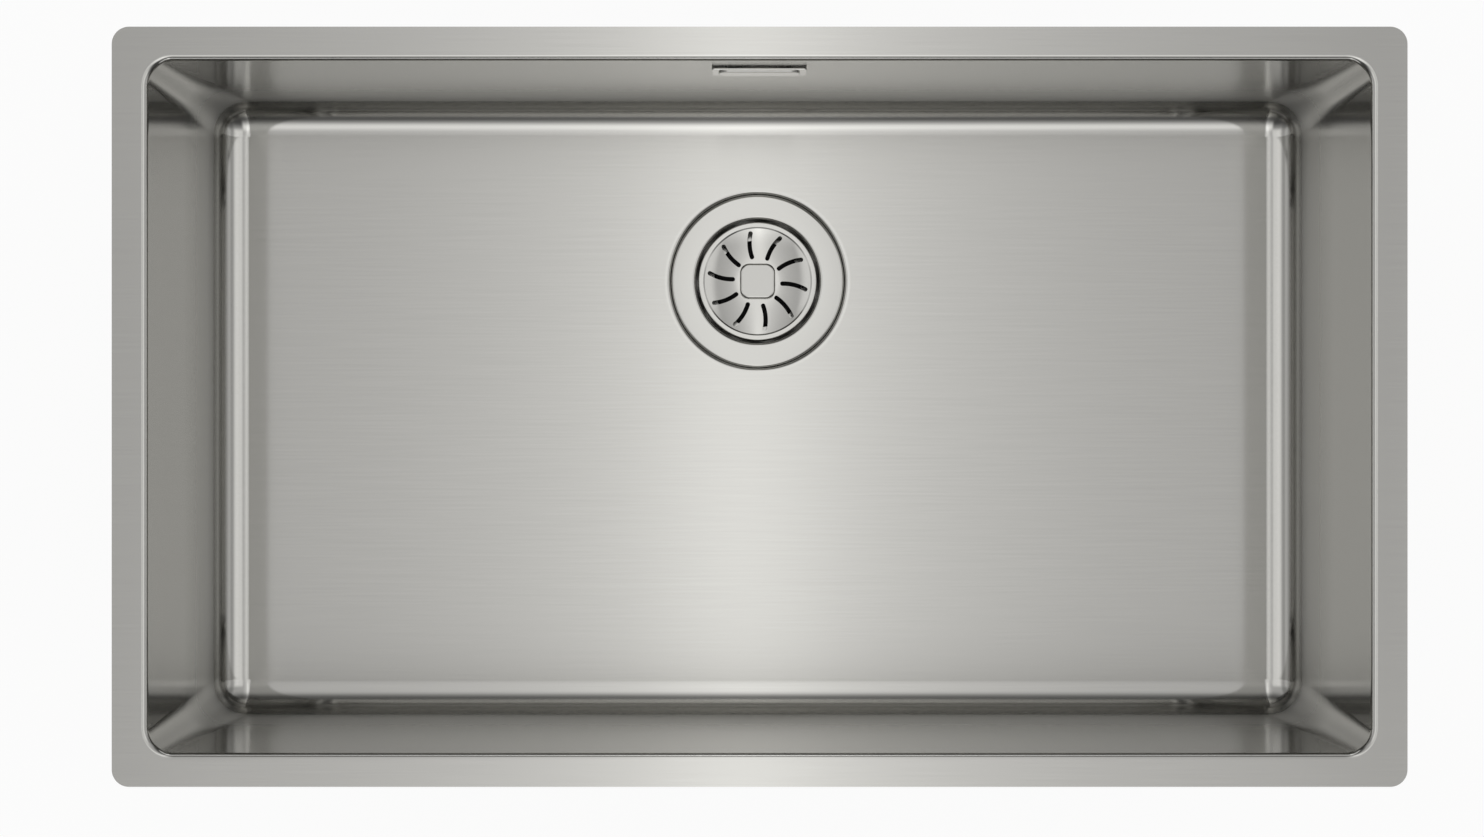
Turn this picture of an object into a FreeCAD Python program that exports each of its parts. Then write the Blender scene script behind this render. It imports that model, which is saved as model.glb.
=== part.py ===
"""Undermount kitchen sink: pressed steel bowl, basket strainer waste and overflow.

Lengths are in millimetres. The origin is the centre of the rim's top face, +Z is up,
+X runs along the long side and +Y points to the back wall, which carries the overflow.
Waste parts are drawn on the waste's own axis, with zero height at the bowl's floor.
Overflow parts are drawn on the back wall's outer face, with Z up the leaning wall.
"""
import FreeCAD, Part
import math
import os
from types import SimpleNamespace

import Sketcher
from FreeCAD import Placement, Rotation, Vector

SIZES = {
    # Rim and bowl, drawn from one sheet
    "rim_length": 750,
    "rim_width": 440,
    "rim_corner": 10,
    "steel": 1.0,
    "end_border": 19.5,
    "side_border": 18,
    "mouth_corner": 15,
    "mouth_bend": 5,
    "bowl_depth": 200,
    "wall_lean": 3,
    "floor_bend": 21,
    "corner_step": 1,
    # Pressed seat for the waste in the bowl's floor
    "waste_from_back": 119,
    "recess_radius": 57,
    "recess_depth": 3,
    "recess_edge": 0.8,
    "waste_hole_radius": 45,
    # Waste cup, pressed from thinner sheet
    "cup_sheet": 0.8,
    "flange_gap": 1.8,
    "flange_turn": 0.7,
    "cup_mouth_radius": 41,
    "lip_bend": 1.7,
    "cup_height": 37.7,
    "cup_floor_radius": 38,
    "cup_floor_bend": 3,
    "well_radius": 12,
    "well_slope": 1,
    "well_depth": 2.5,
    "drain_hole_radius": 4.5,
    "drain_hole_web": 3,
    "drain_hole_count": 8,
    # Gaskets above and below the bowl's floor
    "cup_gasket_height": 1.9,
    "under_gasket_height": 3,
    "gasket_inset": 1.2,
    "gasket_hole_gap": 0.5,
    # Moulded waste body under the bowl
    "collar_height": 3.5,
    "gusset_count": 8,
    "gusset_width": 2,
    "gusset_height": 8,
    "gusset_inset": 1,
    "body_wall": 2.5,
    "port_drop": 6.7,
    "port_reach": 66,
    "port_margin": 1.6,
    "tail_flange": 2,
    "tail_flange_height": 2,
    "cone_height": 12,
    "outlet_bore_radius": 20,
    "outlet_radius": 23.9,
    "outlet_length": 24,
    "boss_gap": 4.7,
    "boss_radius": 6.7,
    "boss_height": 16,
    "rib_width": 2.5,
    "rib_height": 5,
    # Clamping screw and its brass insert
    "screw_radius": 3,
    "screw_hole_gap": 0.3,
    "screw_length": 21,
    "pilot_radius": 4.5,
    "pilot_height": 11.5,
    "driver_slot": 1.6,
    "driver_depth": 2.5,
    "thread_gap": 0.05,
    "insert_wall": 1.2,
    "insert_height": 12,
    # Strainer basket
    "basket_sheet": 0.8,
    "ring_gap": 2.2,
    "rim_drop": 1.7,
    "rim_flat": 3.8,
    "rim_turn": 2,
    "trough_radius": 27,
    "trough_drop": 5.2,
    "trough_bend": 3,
    "hub_radius": 19,
    "hub_drop": 3.5,
    "hub_bend": 60,
    "slot_count": 10,
    "slot_width": 2.1,
    "slot_start": 14.9,
    "slot_end": 32.7,
    "slot_start_turn": 5.8,
    "slot_end_turn": 10.5,
    "slot_sweep": 28.5,
    # Knob, stem and rubber plug that lift together
    "knob_across": 23,
    "knob_corner": 6,
    "knob_height": 5.5,
    "knob_edge": 1.2,
    "knob_gap": 0.1,
    "pin_radius": 4,
    "pin_gap": 0.08,
    "pin_grip": 3.5,
    "shoulder_gap": 0.15,
    "stem_radius": 7,
    "stem_flange_radius": 11,
    "stem_flange_height": 1.5,
    "socket_gap": 0.3,
    "socket_room": 0.6,
    "seal_height": 2.9,
    "seal_overlap": 4,
    "seat_gap": 0.1,
    "seal_nut_radius": 9.5,
    "seal_nut_gap": 0.4,
    # Overflow opening, cover and housing on the back wall
    "overflow_drop": 37.5,
    "overflow_length": 52,
    "overflow_height": 22,
    "overflow_corner": 6,
    "cover_length": 56,
    "cover_height": 26,
    "cover_depth": 1.9,
    "cover_corner": 1.5,
    "cover_gap": 1.8,
    "panel_inset": 4,
    "panel_corner": 4,
    "panel_depth": 0.9,
    "stud_spacing": 30,
    "stud_radius": 2,
    "stud_gap": 0.1,
    "stud_tail": 1,
    "stud_nut_across": 7,
    "stud_nut_height": 3.2,
    "overflow_gasket_height": 1.5,
    "housing_flange": 5,
    "housing_corner": 3,
    "housing_depth": 16,
    "housing_wall": 2,
    "housing_step": 6,
    "post_radius": 4,
    # Pipe joints and the ribbed hose between overflow and waste
    "pipe_bore": 8.8,
    "pipe_wall": 1.6,
    "pipe_length": 14,
    "pipe_offset": 13.3,
    "pipe_seal_height": 3,
    "pipe_nut_wall": 2.1,
    "pipe_nut_skirt": 8,
    "pipe_nut_grips": 8,
    "pipe_grip_radius": 1,
    "hose_bore": 7,
    "hose_cuff_radius": 8.5,
    "hose_cuff_length": 16,
    "hose_root": 8.2,
    "hose_crest": 9.6,
    "hose_pitch": 10,
    "hose_insert": 6,
    "hose_turn": 45,
    # Sound-deadening pads glued to the outside
    "pad_height": 3,
    "pad_glue": 0.1,
    "pad_corner": 8,
    "pad_start": 80,
    "floor_pad_border": 35,
    "wall_pad_height": 110,
    "wall_pad_drop": 105,
    "wall_pad_margin": 76,
}


class Size:
    """A number together with the sheet formula that it comes from."""

    def __init__(self, value, text):
        self.value = value
        self.text = text

    def __add__(self, other):
        return Size(self.value + plain(other), f"({self.text} + {formula(other)})")

    def __sub__(self, other):
        return Size(self.value - plain(other), f"({self.text} - {formula(other)})")

    def __mul__(self, other):
        return Size(self.value * plain(other), f"({self.text} * {formula(other)})")

    def __truediv__(self, other):
        return Size(self.value / plain(other), f"({self.text} / {formula(other)})")

    def __neg__(self):
        return Size(-self.value, f"(-{self.text})")


def plain(number):
    """Return the value of a Size or of a bare number."""
    return number.value if isinstance(number, Size) else number


def formula(number):
    """Return the sheet formula of a Size or of a bare number."""
    return number.text if isinstance(number, Size) else repr(number)


def sine(angle):
    return Size(math.sin(math.radians(angle.value)), f"sin({angle.text})")


def cosine(angle):
    return Size(math.cos(math.radians(angle.value)), f"cos({angle.text})")


def arc_tangent(ratio):
    return Size(math.degrees(math.atan(ratio.value)), f"atan({ratio.text})")


def write_sheet(doc):
    """Fill the sheet of driving sizes and return them as Size values by name."""
    sheet = doc.addObject("Spreadsheet::Sheet", "sizes")
    for row, (name, value) in enumerate(SIZES.items(), 1):
        sheet.set(f"A{row}", name)
        sheet.set(f"B{row}", str(value))
        sheet.setAlias(f"B{row}", name)
    doc.recompute()
    return SimpleNamespace(**{name: Size(value, f"sizes.{name}") for name, value in SIZES.items()})


def heights(size):
    """Return the levels that several parts share, measured up from the bowl's floor."""
    at = SimpleNamespace()
    at.flange_top = size.cup_gasket_height + size.cup_sheet - size.recess_depth
    at.cup_floor = at.flange_top - size.cup_height
    at.well_floor = at.cup_floor - size.well_depth
    at.well_under = at.well_floor - size.cup_sheet
    at.floor_under = -(size.recess_depth + size.steel)
    at.collar_top = at.floor_under - size.under_gasket_height
    at.boss_top = at.well_under - size.boss_gap
    at.port_axis = at.well_under - size.port_drop
    at.cone_top = at.port_axis - pipe_radius(size) - size.port_margin
    at.outlet_top = at.cone_top - size.cone_height
    at.outlet_end = at.outlet_top - size.outlet_length
    at.basket_rim = at.flange_top - size.rim_drop
    at.hub_top = at.basket_rim - size.hub_drop
    at.hub_under = at.hub_top - size.basket_sheet
    at.seal_under = at.cup_floor + size.seat_gap
    at.seal_top = at.seal_under + size.seal_height
    at.stem_foot = at.well_floor + size.seal_nut_gap
    return at


def mouth_length(size):
    return size.rim_length - size.end_border * 2


def mouth_width(size):
    return size.rim_width - size.side_border * 2


def waste_offset(size):
    """Return how far the waste's axis lies behind the middle of the bowl."""
    return mouth_width(size) / 2 - size.waste_from_back


def flange_radius(size):
    return size.recess_radius - size.flange_gap


def pipe_radius(size):
    return size.pipe_bore + size.pipe_wall


def wall_slope(size):
    return size.wall_lean / size.bowl_depth


def housing_back(size):
    """Return how far the overflow housing's back stands off the bowl's wall."""
    return size.overflow_gasket_height + size.housing_depth


def pipe_end(size):
    """Return the height of the overflow pipe's end, down the wall from the cover's centre."""
    return -(size.overflow_height / 2 + size.housing_flange + size.pipe_length)


# Drawing helpers


def bind(feature, **properties):
    """Set properties and tie each to its sheet formula."""
    for name, size in properties.items():
        setattr(feature, name, plain(size))
        feature.setExpression(name, formula(size))


def new_body(doc, name):
    body = doc.addObject("PartDesign::Body", name)
    body.Label = name
    return body


def place(body, x=0, y=0, z=0, yaw=0, roll=0):
    """Put a body's own frame at a point, turned by yaw about Z after roll about X."""
    point = "; ".join(formula(part) for part in (x, y, z))
    turn = f"{formula(yaw)}; 0; {formula(roll)}"
    vector = f"create(<<vector>>; {point})"
    body.setExpression("Placement", f"create(<<placement>>; {vector}; create(<<rotation>>; {turn}))")


def on_waste_axis(body, size):
    place(body, y=waste_offset(size), z=-size.bowl_depth)


def on_wall(body, size, half_mouth, drop, yaw):
    """Put a body's frame on a wall's outer face, with Y out of the wall and Z up it."""
    angle = math.radians(yaw)
    reach = half_mouth + size.steel - wall_slope(size) * drop
    across = -round(math.sin(angle))
    along = round(math.cos(angle))
    place(body, x=reach * across, y=reach * along, z=-drop, yaw=yaw, roll=-arc_tangent(wall_slope(size)))


def on_back_wall(body, size):
    on_wall(body, size, mouth_width(size) / 2, size.overflow_drop, 0)


def origin_part(body, role):
    return next(feature for feature in body.Origin.OriginFeatures if feature.Role == role)


def new_sketch(body, name, role, lift=0, across=0, along=0, turn=0):
    """Start a sketch on one of the body's planes, moved in and off that plane and turned in it."""
    sketch = body.newObject("Sketcher::SketchObject", name)
    sketch.AttachmentSupport = [(origin_part(body, role), "")]
    sketch.MapMode = "FlatFace"
    offset = Vector(plain(across), plain(along), plain(lift))
    sketch.AttachmentOffset = Placement(offset, Rotation(Vector(0, 0, 1), turn))
    for letter, shift in zip("xyz", (across, along, lift)):
        if isinstance(shift, Size):
            sketch.setExpression(f"AttachmentOffset.Base.{letter}", shift.text)
    return sketch


def constrain(sketch, kind, *places):
    sketch.addConstraint(Sketcher.Constraint(kind, *places))


def dimension(sketch, kind, *places_and_size):
    """Add a dimension whose value follows the sheet."""
    *places, size = places_and_size
    index = sketch.addConstraint(Sketcher.Constraint(kind, *places, plain(size)))
    if isinstance(size, Size):
        sketch.setExpression(f"Constraints[{index}]", size.text)


def locate(sketch, element, point, x, y):
    """Hold a point of the sketch at its distances from the sketch's origin."""
    for kind, axis, size in (("DistanceX", -2, x), ("DistanceY", -1, y)):
        if plain(size) == 0:
            constrain(sketch, "PointOnObject", element, point, axis)
        else:
            dimension(sketch, kind, -1, 1, element, point, size)


def circle(sketch, radius, x=0, y=0):
    centre = Vector(plain(x), plain(y), 0)
    index = sketch.addGeometry(Part.Circle(centre, Vector(0, 0, 1), plain(radius)), False)
    if plain(x) == 0 and plain(y) == 0:
        constrain(sketch, "Coincident", index, 3, -1, 1)
    else:
        locate(sketch, index, 3, x, y)
    dimension(sketch, "Radius", index, radius)


def ring(sketch, outer, inner):
    circle(sketch, outer)
    circle(sketch, inner)


def polygon(sketch, points):
    """Draw a closed outline of straight lines, each corner held from the origin."""
    corners = [Vector(plain(x), plain(y), 0) for x, y in points]
    count = len(points)
    for start, end in zip(corners, corners[1:] + corners[:1]):
        sketch.addGeometry(Part.LineSegment(start, end), False)
    for index, (x, y) in enumerate(points):
        constrain(sketch, "Coincident", (index - 1) % count, 2, index, 1)
        locate(sketch, index, 1, x, y)


def rounded_rectangle(sketch, length, width, corner, x=0, y=0):
    """Draw a rectangle with round corners, centred on the point (x, y)."""
    half_length = length / 2 - corner
    half_width = width / 2 - corner
    signs = ((1, 1), (-1, 1), (-1, -1), (1, -1))
    centres = [(half_length * across + x, half_width * along + y) for across, along in signs]
    radius = plain(corner)
    for index, (centre_x, centre_y) in enumerate(centres):
        arc = Part.Circle(Vector(centre_x.value, centre_y.value, 0), Vector(0, 0, 1), radius)
        start = math.radians(90 * index)
        sketch.addGeometry(Part.ArcOfCircle(arc, start, start + math.pi / 2), False)
    for index in range(4):
        start = sketch.getPoint(index, 2)
        end = sketch.getPoint((index + 1) % 4, 1)
        sketch.addGeometry(Part.LineSegment(start, end), False)
    for index, (centre_x, centre_y) in enumerate(centres):
        constrain(sketch, "Tangent", index, 2, 4 + index, 1)
        constrain(sketch, "Tangent", 4 + index, 2, (index + 1) % 4, 1)
        locate(sketch, index, 3, centre_x, centre_y)
    for index in range(1, 4):
        constrain(sketch, "Equal", 0, index)
    dimension(sketch, "Radius", 0, corner)


def line_normal(start, end):
    """Return the unit vector that points to the right of a line."""
    along = (end - start).normalize()
    return Vector(along.y, -along.x, 0)


def offset_corners(corners, distance):
    """Return the corners of the line that lies to the right of a path at a distance."""
    normals = [line_normal(start, end) for start, end in zip(corners, corners[1:])]
    moved = [corners[0] + normals[0] * distance]
    for corner, before, after in zip(corners[1:], normals, normals[1:]):
        moved.append(corner + (before + after) * (distance / (1 + before.dot(after))))
    moved.append(corners[-1] + normals[-1] * distance)
    return moved


def bent_line(sketch, corners, radii):
    """Draw lines joined by tangent arcs, none where the radius is zero, and return both."""
    lines = []
    arcs = []
    start = corners[0]
    for before, corner, after, radius in zip(corners, corners[1:], corners[2:], radii):
        if radius == 0:
            lines.append(sketch.addGeometry(Part.LineSegment(start, corner), False))
            arcs.append(None)
            start = corner
            continue
        incoming = (corner - before).normalize()
        outgoing = (after - corner).normalize()
        half_turn = incoming.getAngle(outgoing) / 2
        setback = radius * math.tan(half_turn)
        arc_start = corner - incoming * setback
        arc_end = corner + outgoing * setback
        toward = (outgoing - incoming).normalize()
        centre = corner + toward * (radius / math.cos(half_turn))
        middle = centre - toward * radius
        lines.append(sketch.addGeometry(Part.LineSegment(start, arc_start), False))
        arcs.append(sketch.addGeometry(Part.Arc(arc_start, middle, arc_end), False))
        start = arc_end
    lines.append(sketch.addGeometry(Part.LineSegment(start, corners[-1]), False))
    return lines, arcs


def join_bent_line(sketch, lines, arcs, turns, radii):
    """Make the arcs tangent to their lines and give each its bend radius."""
    for line, arc, following, turn, radius in zip(lines, arcs, lines[1:], turns, radii):
        if arc is None:
            constrain(sketch, "Coincident", line, 2, following, 1)
            continue
        first, last = (1, 2) if turn > 0 else (2, 1)
        constrain(sketch, "Tangent", line, 2, arc, first)
        constrain(sketch, "Tangent", arc, last, following, 1)
        dimension(sketch, "Radius", arc, radius)


def sheet_strip(sketch, path, thickness):
    """Draw the section of a pressed sheet whose upper side follows a path.

    Each inner entry of the path is (x, y, bend), with the bend radius on the inner side of
    the corner, or 0 for a sharp turn. The two ends are (x, y). The sheet lies to the right
    of the path.
    """
    corners = [Vector(plain(entry[0]), plain(entry[1]), 0) for entry in path]
    turns = []
    upper_radii = []
    lower_radii = []
    for before, corner, after, (_, _, bend) in zip(corners, corners[1:], corners[2:], path[1:-1]):
        turn = -line_normal(before, corner).dot(after - corner)
        outer_bend = 0 if bend == 0 else bend + thickness
        turns.append(turn)
        upper_radii.append(bend if turn > 0 else outer_bend)
        lower_radii.append(outer_bend if turn > 0 else bend)
    upper = bent_line(sketch, corners, [plain(radius) for radius in upper_radii])
    under_corners = offset_corners(corners, plain(thickness))
    lower = bent_line(sketch, under_corners, [plain(radius) for radius in lower_radii])
    join_bent_line(sketch, *upper, turns, upper_radii)
    join_bent_line(sketch, *lower, turns, lower_radii)
    for upper_line, lower_line in zip(upper[0], lower[0]):
        constrain(sketch, "Parallel", upper_line, lower_line)
        dimension(sketch, "Distance", lower_line, 1, upper_line, thickness)
    hold_path(sketch, path, *upper)
    for start, end, point in ((upper[0][0], lower[0][0], 1), (upper[0][-1], lower[0][-1], 2)):
        edge = Part.LineSegment(sketch.getPoint(start, point), sketch.getPoint(end, point))
        cap = sketch.addGeometry(edge, False)
        constrain(sketch, "Coincident", cap, 1, start, point)
        constrain(sketch, "Coincident", cap, 2, end, point)
        constrain(sketch, "Perpendicular", cap, start)


def hold_path(sketch, path, lines, arcs):
    """Hold the corners of a bent path, which lie where its lines would meet."""
    locate(sketch, lines[0], 1, *path[0])
    for (x, y, _), line, arc, following in zip(path[1:-1], lines, arcs, lines[1:]):
        if arc is None:
            locate(sketch, line, 2, x, y)
            continue
        corner = sketch.addGeometry(Part.Point(Vector(plain(x), plain(y), 0)), True)
        constrain(sketch, "PointOnObject", corner, 1, line)
        constrain(sketch, "PointOnObject", corner, 1, following)
        locate(sketch, corner, 1, x, y)
    locate(sketch, lines[-1], 2, *path[-1])


# Feature helpers


def pad(body, sketch, length, name, down=False, middle=False):
    feature = body.newObject("PartDesign::Pad", name)
    feature.Profile = sketch
    feature.Reversed = down
    feature.Midplane = middle
    bind(feature, Length=length)
    return feature


def pocket(body, sketch, length, name, up=False, middle=False):
    feature = body.newObject("PartDesign::Pocket", name)
    feature.Profile = sketch
    feature.Reversed = up
    feature.Midplane = middle
    bind(feature, Length=length)
    return feature


def revolve(body, sketch, name):
    feature = body.newObject("PartDesign::Revolution", name)
    feature.Profile = sketch
    feature.ReferenceAxis = (sketch, ["V_Axis"])
    feature.Angle = 360
    return feature


def groove(body, sketch, name):
    feature = body.newObject("PartDesign::Groove", name)
    feature.Profile = sketch
    feature.ReferenceAxis = (sketch, ["V_Axis"])
    feature.Angle = 360
    return feature


def polar_pattern(body, original, count, name, axis=None):
    """Repeat a feature round an axis, which is the body's own Z axis if none is given."""
    feature = body.newObject("PartDesign::PolarPattern", name)
    feature.Originals = [original]
    feature.Axis = axis or (origin_part(body, "Z_Axis"), [""])
    feature.Angle = 360
    bind(feature, Occurrences=count)
    body.Tip = feature
    return feature


def wanted_edges(doc, base, wanted):
    """Return the numbers and the shapes of a feature's edges that pass a test."""
    doc.recompute()
    return [(index, edge) for index, edge in enumerate(base.Shape.Edges, 1) if wanted(edge)]


def fillet(doc, body, base, radius, name, wanted):
    """Round the edges of a feature that a test on the edge picks out."""
    edges = [f"Edge{index}" for index, _ in wanted_edges(doc, base, wanted)]
    feature = body.newObject("PartDesign::Fillet", name)
    feature.Base = (base, edges)
    bind(feature, Radius=radius)
    return feature


def chamfer(doc, body, base, amount, name, wanted):
    """Slope the edges of a feature that a test on the edge picks out."""
    edges = [f"Edge{index}" for index, _ in wanted_edges(doc, base, wanted)]
    feature = body.newObject("PartDesign::Chamfer", name)
    feature.Base = (base, edges)
    bind(feature, Size=amount)
    return feature


def graded_fillet(doc, base, name, wanted, upper_radius, lower_radius):
    """Round edges by a radius that runs from its upper to its lower value down each edge."""
    rows = []
    for index, edge in wanted_edges(doc, base, wanted):
        radii = [lower_radius.value, upper_radius.value]
        if edge.valueAt(edge.FirstParameter).z > edge.valueAt(edge.LastParameter).z:
            radii.reverse()
        rows.append((index, *radii))
    feature = doc.addObject("Part::Fillet", name)
    feature.Base = base
    feature.Edges = rows
    return feature


def level_edge(height, within=math.inf):
    """Return a test for edges that lie level at a height and within a distance along X."""
    def wanted(edge):
        box = edge.BoundBox
        level = abs(box.ZMin - height) < 0.01 and abs(box.ZMax - height) < 0.01
        return level and max(-box.XMin, box.XMax) < within
    return wanted


def upright_edge(edge):
    box = edge.BoundBox
    return box.ZLength > box.XLength + box.YLength


def deep_edge(edge):
    """Pick out the straight edges that run along Y."""
    box = edge.BoundBox
    return box.YLength > 1 and box.XLength < 0.01 and box.ZLength < 0.01


# Bowl


def bowl_form(doc, size, wall, name):
    """Build the tapered block of the bowl's form, grown outwards by the wall, as a body."""
    depth = size.bowl_depth + wall
    lean = wall_slope(size) * depth
    half_length = mouth_length(size) / 2 + wall
    half_width = mouth_width(size) / 2 + wall
    block = doc.addObject("Part::Wedge", f"{name}_block")
    bind(block, Xmin=lean - half_length, Xmax=half_length - lean, Zmin=lean - half_width,
         Zmax=half_width - lean, Ymin=0, Ymax=depth, X2min=-half_length, X2max=half_length,
         Z2min=-half_width, Z2max=half_width)
    place(block, z=-depth, roll=90)
    floor_bend = size.floor_bend + wall
    corners = graded_fillet(doc, block, f"{name}_corners", upright_edge,
                            size.mouth_corner + wall, floor_bend + size.corner_step)
    bends = graded_fillet(doc, corners, f"{name}_bends", level_edge(-depth.value),
                          floor_bend, floor_bend)
    body = new_body(doc, name)
    body.BaseFeature = bends
    return body


def sink_bowl(doc, size):
    body = bowl_form(doc, size, size.steel, "sink_bowl")
    outline = new_sketch(body, "rim_outline", "XY_Plane")
    rounded_rectangle(outline, size.rim_length, size.rim_width, size.rim_corner)
    rim = pad(body, outline, size.steel, "rim", down=True)
    inside_rim = mouth_length(size).value / 2 + size.mouth_bend.value
    fillet(doc, body, rim, size.mouth_bend - size.steel, "under_rim_bend",
           level_edge(-size.steel.value, within=inside_rim))
    hollow = body.newObject("PartDesign::Boolean", "hollow")
    hollow.Type = "Cut"
    hollow.Group = [bowl_form(doc, size, 0, "bowl_inside")]
    fillet(doc, body, hollow, size.mouth_bend, "mouth_bends", level_edge(0, within=inside_rim))
    press_waste_seat(doc, body, size)
    cut_overflow_opening(body, size)
    return body


def press_waste_seat(doc, body, size):
    """Press the round seat into the floor and cut the waste's hole in it."""
    floor = -size.bowl_depth
    middle = waste_offset(size)
    under = new_sketch(body, "seat_outside", "XY_Plane", lift=floor - size.steel)
    circle(under, size.recess_radius + size.steel, y=middle)
    seat = pad(body, under, size.recess_depth, "seat", down=True)
    seat_foot = floor - size.steel - size.recess_depth
    chamfer(doc, body, seat, size.recess_edge, "seat_edge", level_edge(seat_foot.value))
    recess = new_sketch(body, "recess_outline", "XY_Plane", lift=floor)
    circle(recess, size.recess_radius, y=middle)
    hollow = pocket(body, recess, size.recess_depth, "recess")
    around = size.recess_radius + size.steel
    chamfer(doc, body, hollow, size.recess_edge, "recess_edge",
            level_edge(floor.value, within=around.value))
    hole = new_sketch(body, "waste_hole_outline", "XY_Plane", lift=floor - size.recess_depth)
    circle(hole, size.waste_hole_radius, y=middle)
    pocket(body, hole, size.steel * 2, "waste_hole")


def cut_overflow_opening(body, size):
    opening = new_sketch(body, "overflow_outline", "XZ_Plane")
    rounded_rectangle(opening, size.overflow_length, size.overflow_height,
                      size.overflow_corner, y=-size.overflow_drop)
    pocket(body, opening, size.rim_width / 2, "overflow_opening")


def floor_pad(doc, size, name, side):
    """Glue a sound-deadening pad under the floor, beside the waste."""
    body = new_body(doc, name)
    bend = size.wall_lean + size.floor_bend + size.floor_pad_border
    length = mouth_length(size) / 2 - bend - size.pad_start
    width = mouth_width(size) - bend * 2
    place(body, x=(size.pad_start + length / 2) * side,
          z=-(size.bowl_depth + size.steel + size.pad_glue))
    outline = new_sketch(body, f"{name}_outline", "XY_Plane")
    rounded_rectangle(outline, length, width, size.pad_corner)
    pad(body, outline, size.pad_height, f"{name}_sheet", down=True)
    return body


def wall_pad(doc, size, name, yaw, half_mouth, length, middle=0):
    """Glue a sound-deadening pad to the outside of one wall."""
    body = new_body(doc, name)
    on_wall(body, size, half_mouth, size.wall_pad_drop, yaw)
    outline = new_sketch(body, f"{name}_outline", "XZ_Plane", lift=-size.pad_glue)
    rounded_rectangle(outline, length, size.wall_pad_height, size.pad_corner, x=middle)
    pad(body, outline, size.pad_height, f"{name}_sheet", down=True)
    return body


def sound_pads(doc, size):
    half_length = mouth_length(size) / 2
    half_width = mouth_width(size) / 2
    end = half_length - size.wall_pad_margin
    back_length = end - size.pad_start
    back_middle = size.pad_start + back_length / 2
    side_length = (half_width - size.wall_pad_margin) * 2
    return [
        floor_pad(doc, size, "floor_pad_left", -1),
        floor_pad(doc, size, "floor_pad_right", 1),
        wall_pad(doc, size, "front_pad", 180, half_width, end * 2),
        wall_pad(doc, size, "back_pad_left", 0, half_width, back_length, -back_middle),
        wall_pad(doc, size, "back_pad_right", 0, half_width, back_length, back_middle),
        wall_pad(doc, size, "end_pad_left", 90, half_length, side_length),
        wall_pad(doc, size, "end_pad_right", -90, half_length, side_length),
    ]


# Waste


def waste_cup(doc, size, at):
    """Press the cup with its flange, its well for the screw and its ring of drain holes."""
    body = new_body(doc, "waste_cup")
    on_waste_axis(body, size)
    section = new_sketch(body, "cup_section", "XZ_Plane")
    sheet_strip(section, [
        (size.screw_radius + size.screw_hole_gap, at.well_floor),
        (size.well_radius, at.well_floor, 0),
        (size.well_radius + size.well_slope, at.cup_floor, 0),
        (size.cup_floor_radius, at.cup_floor, size.cup_floor_bend),
        (size.cup_mouth_radius, at.flange_top, size.lip_bend),
        (flange_radius(size), at.flange_top, 0),
        (flange_radius(size), at.flange_top - size.cup_sheet - size.flange_turn),
    ], size.cup_sheet)
    revolve(body, section, "cup_pressing")
    hole_sketch = new_sketch(body, "drain_hole_outline", "XY_Plane", lift=at.cup_floor)
    hole_circle = size.well_radius + size.well_slope + size.drain_hole_web + size.drain_hole_radius
    circle(hole_sketch, size.drain_hole_radius, x=hole_circle)
    hole = pocket(body, hole_sketch, size.cup_sheet, "drain_hole")
    polar_pattern(body, hole, size.drain_hole_count, "drain_holes")
    return body


def gasket(doc, size, name, under, height):
    """Cut a flat ring that lies between the flange and the bowl or the bowl and the body."""
    body = new_body(doc, name)
    on_waste_axis(body, size)
    outline = new_sketch(body, f"{name}_outline", "XY_Plane", lift=under)
    outer = flange_radius(size) - size.gasket_inset
    ring(outline, outer, size.waste_hole_radius + size.gasket_hole_gap)
    pad(body, outline, height, f"{name}_ring")
    return body


def waste_body(doc, size, at):
    """Mould the body: a collar, a cylinder, the overflow port and a flange for the tail."""
    body = new_body(doc, "waste_body")
    on_waste_axis(body, size)
    bore = size.waste_hole_radius
    wall = size.body_wall
    collar = flange_radius(size) - size.gasket_inset
    collar_foot = at.collar_top - size.collar_height
    outside = new_sketch(body, "body_outside", "XZ_Plane")
    polygon(outside, [
        (0, at.collar_top),
        (collar, at.collar_top),
        (collar, collar_foot),
        (bore + wall, collar_foot),
        (bore + wall, at.cone_top + size.tail_flange_height),
        (bore + wall + size.tail_flange, at.cone_top + size.tail_flange_height),
        (bore + wall + size.tail_flange, at.cone_top),
        (0, at.cone_top),
    ])
    revolve(body, outside, "body_form")
    add_overflow_port(body, size, at)
    inside = new_sketch(body, "body_inside", "XZ_Plane")
    polygon(inside, [
        (0, at.collar_top),
        (bore, at.collar_top),
        (bore, at.cone_top),
        (0, at.cone_top),
    ])
    groove(body, inside, "body_hollow")
    add_gussets(body, size, bore + wall, collar, collar_foot)
    port_bore = new_sketch(body, "port_bore_outline", "XZ_Plane", along=at.port_axis)
    circle(port_bore, size.pipe_bore)
    pocket(body, port_bore, size.port_reach, "port_bore")
    add_screw_boss(body, size, at)
    return body


def outlet_tail(doc, size, at):
    """Mould the funnel that is welded under the body and ends in the outlet."""
    body = new_body(doc, "outlet_tail")
    on_waste_axis(body, size)
    bore = size.waste_hole_radius
    barrel = bore + size.body_wall
    flange_foot = at.cone_top - size.tail_flange_height
    section = new_sketch(body, "tail_section", "XZ_Plane")
    polygon(section, [
        (bore, at.cone_top),
        (barrel + size.tail_flange, at.cone_top),
        (barrel + size.tail_flange, flange_foot),
        (barrel, flange_foot),
        (size.outlet_radius, at.outlet_top),
        (size.outlet_radius, at.outlet_end),
        (size.outlet_bore_radius, at.outlet_end),
        (size.outlet_bore_radius, at.outlet_top),
    ])
    revolve(body, section, "tail")
    return body


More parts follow.
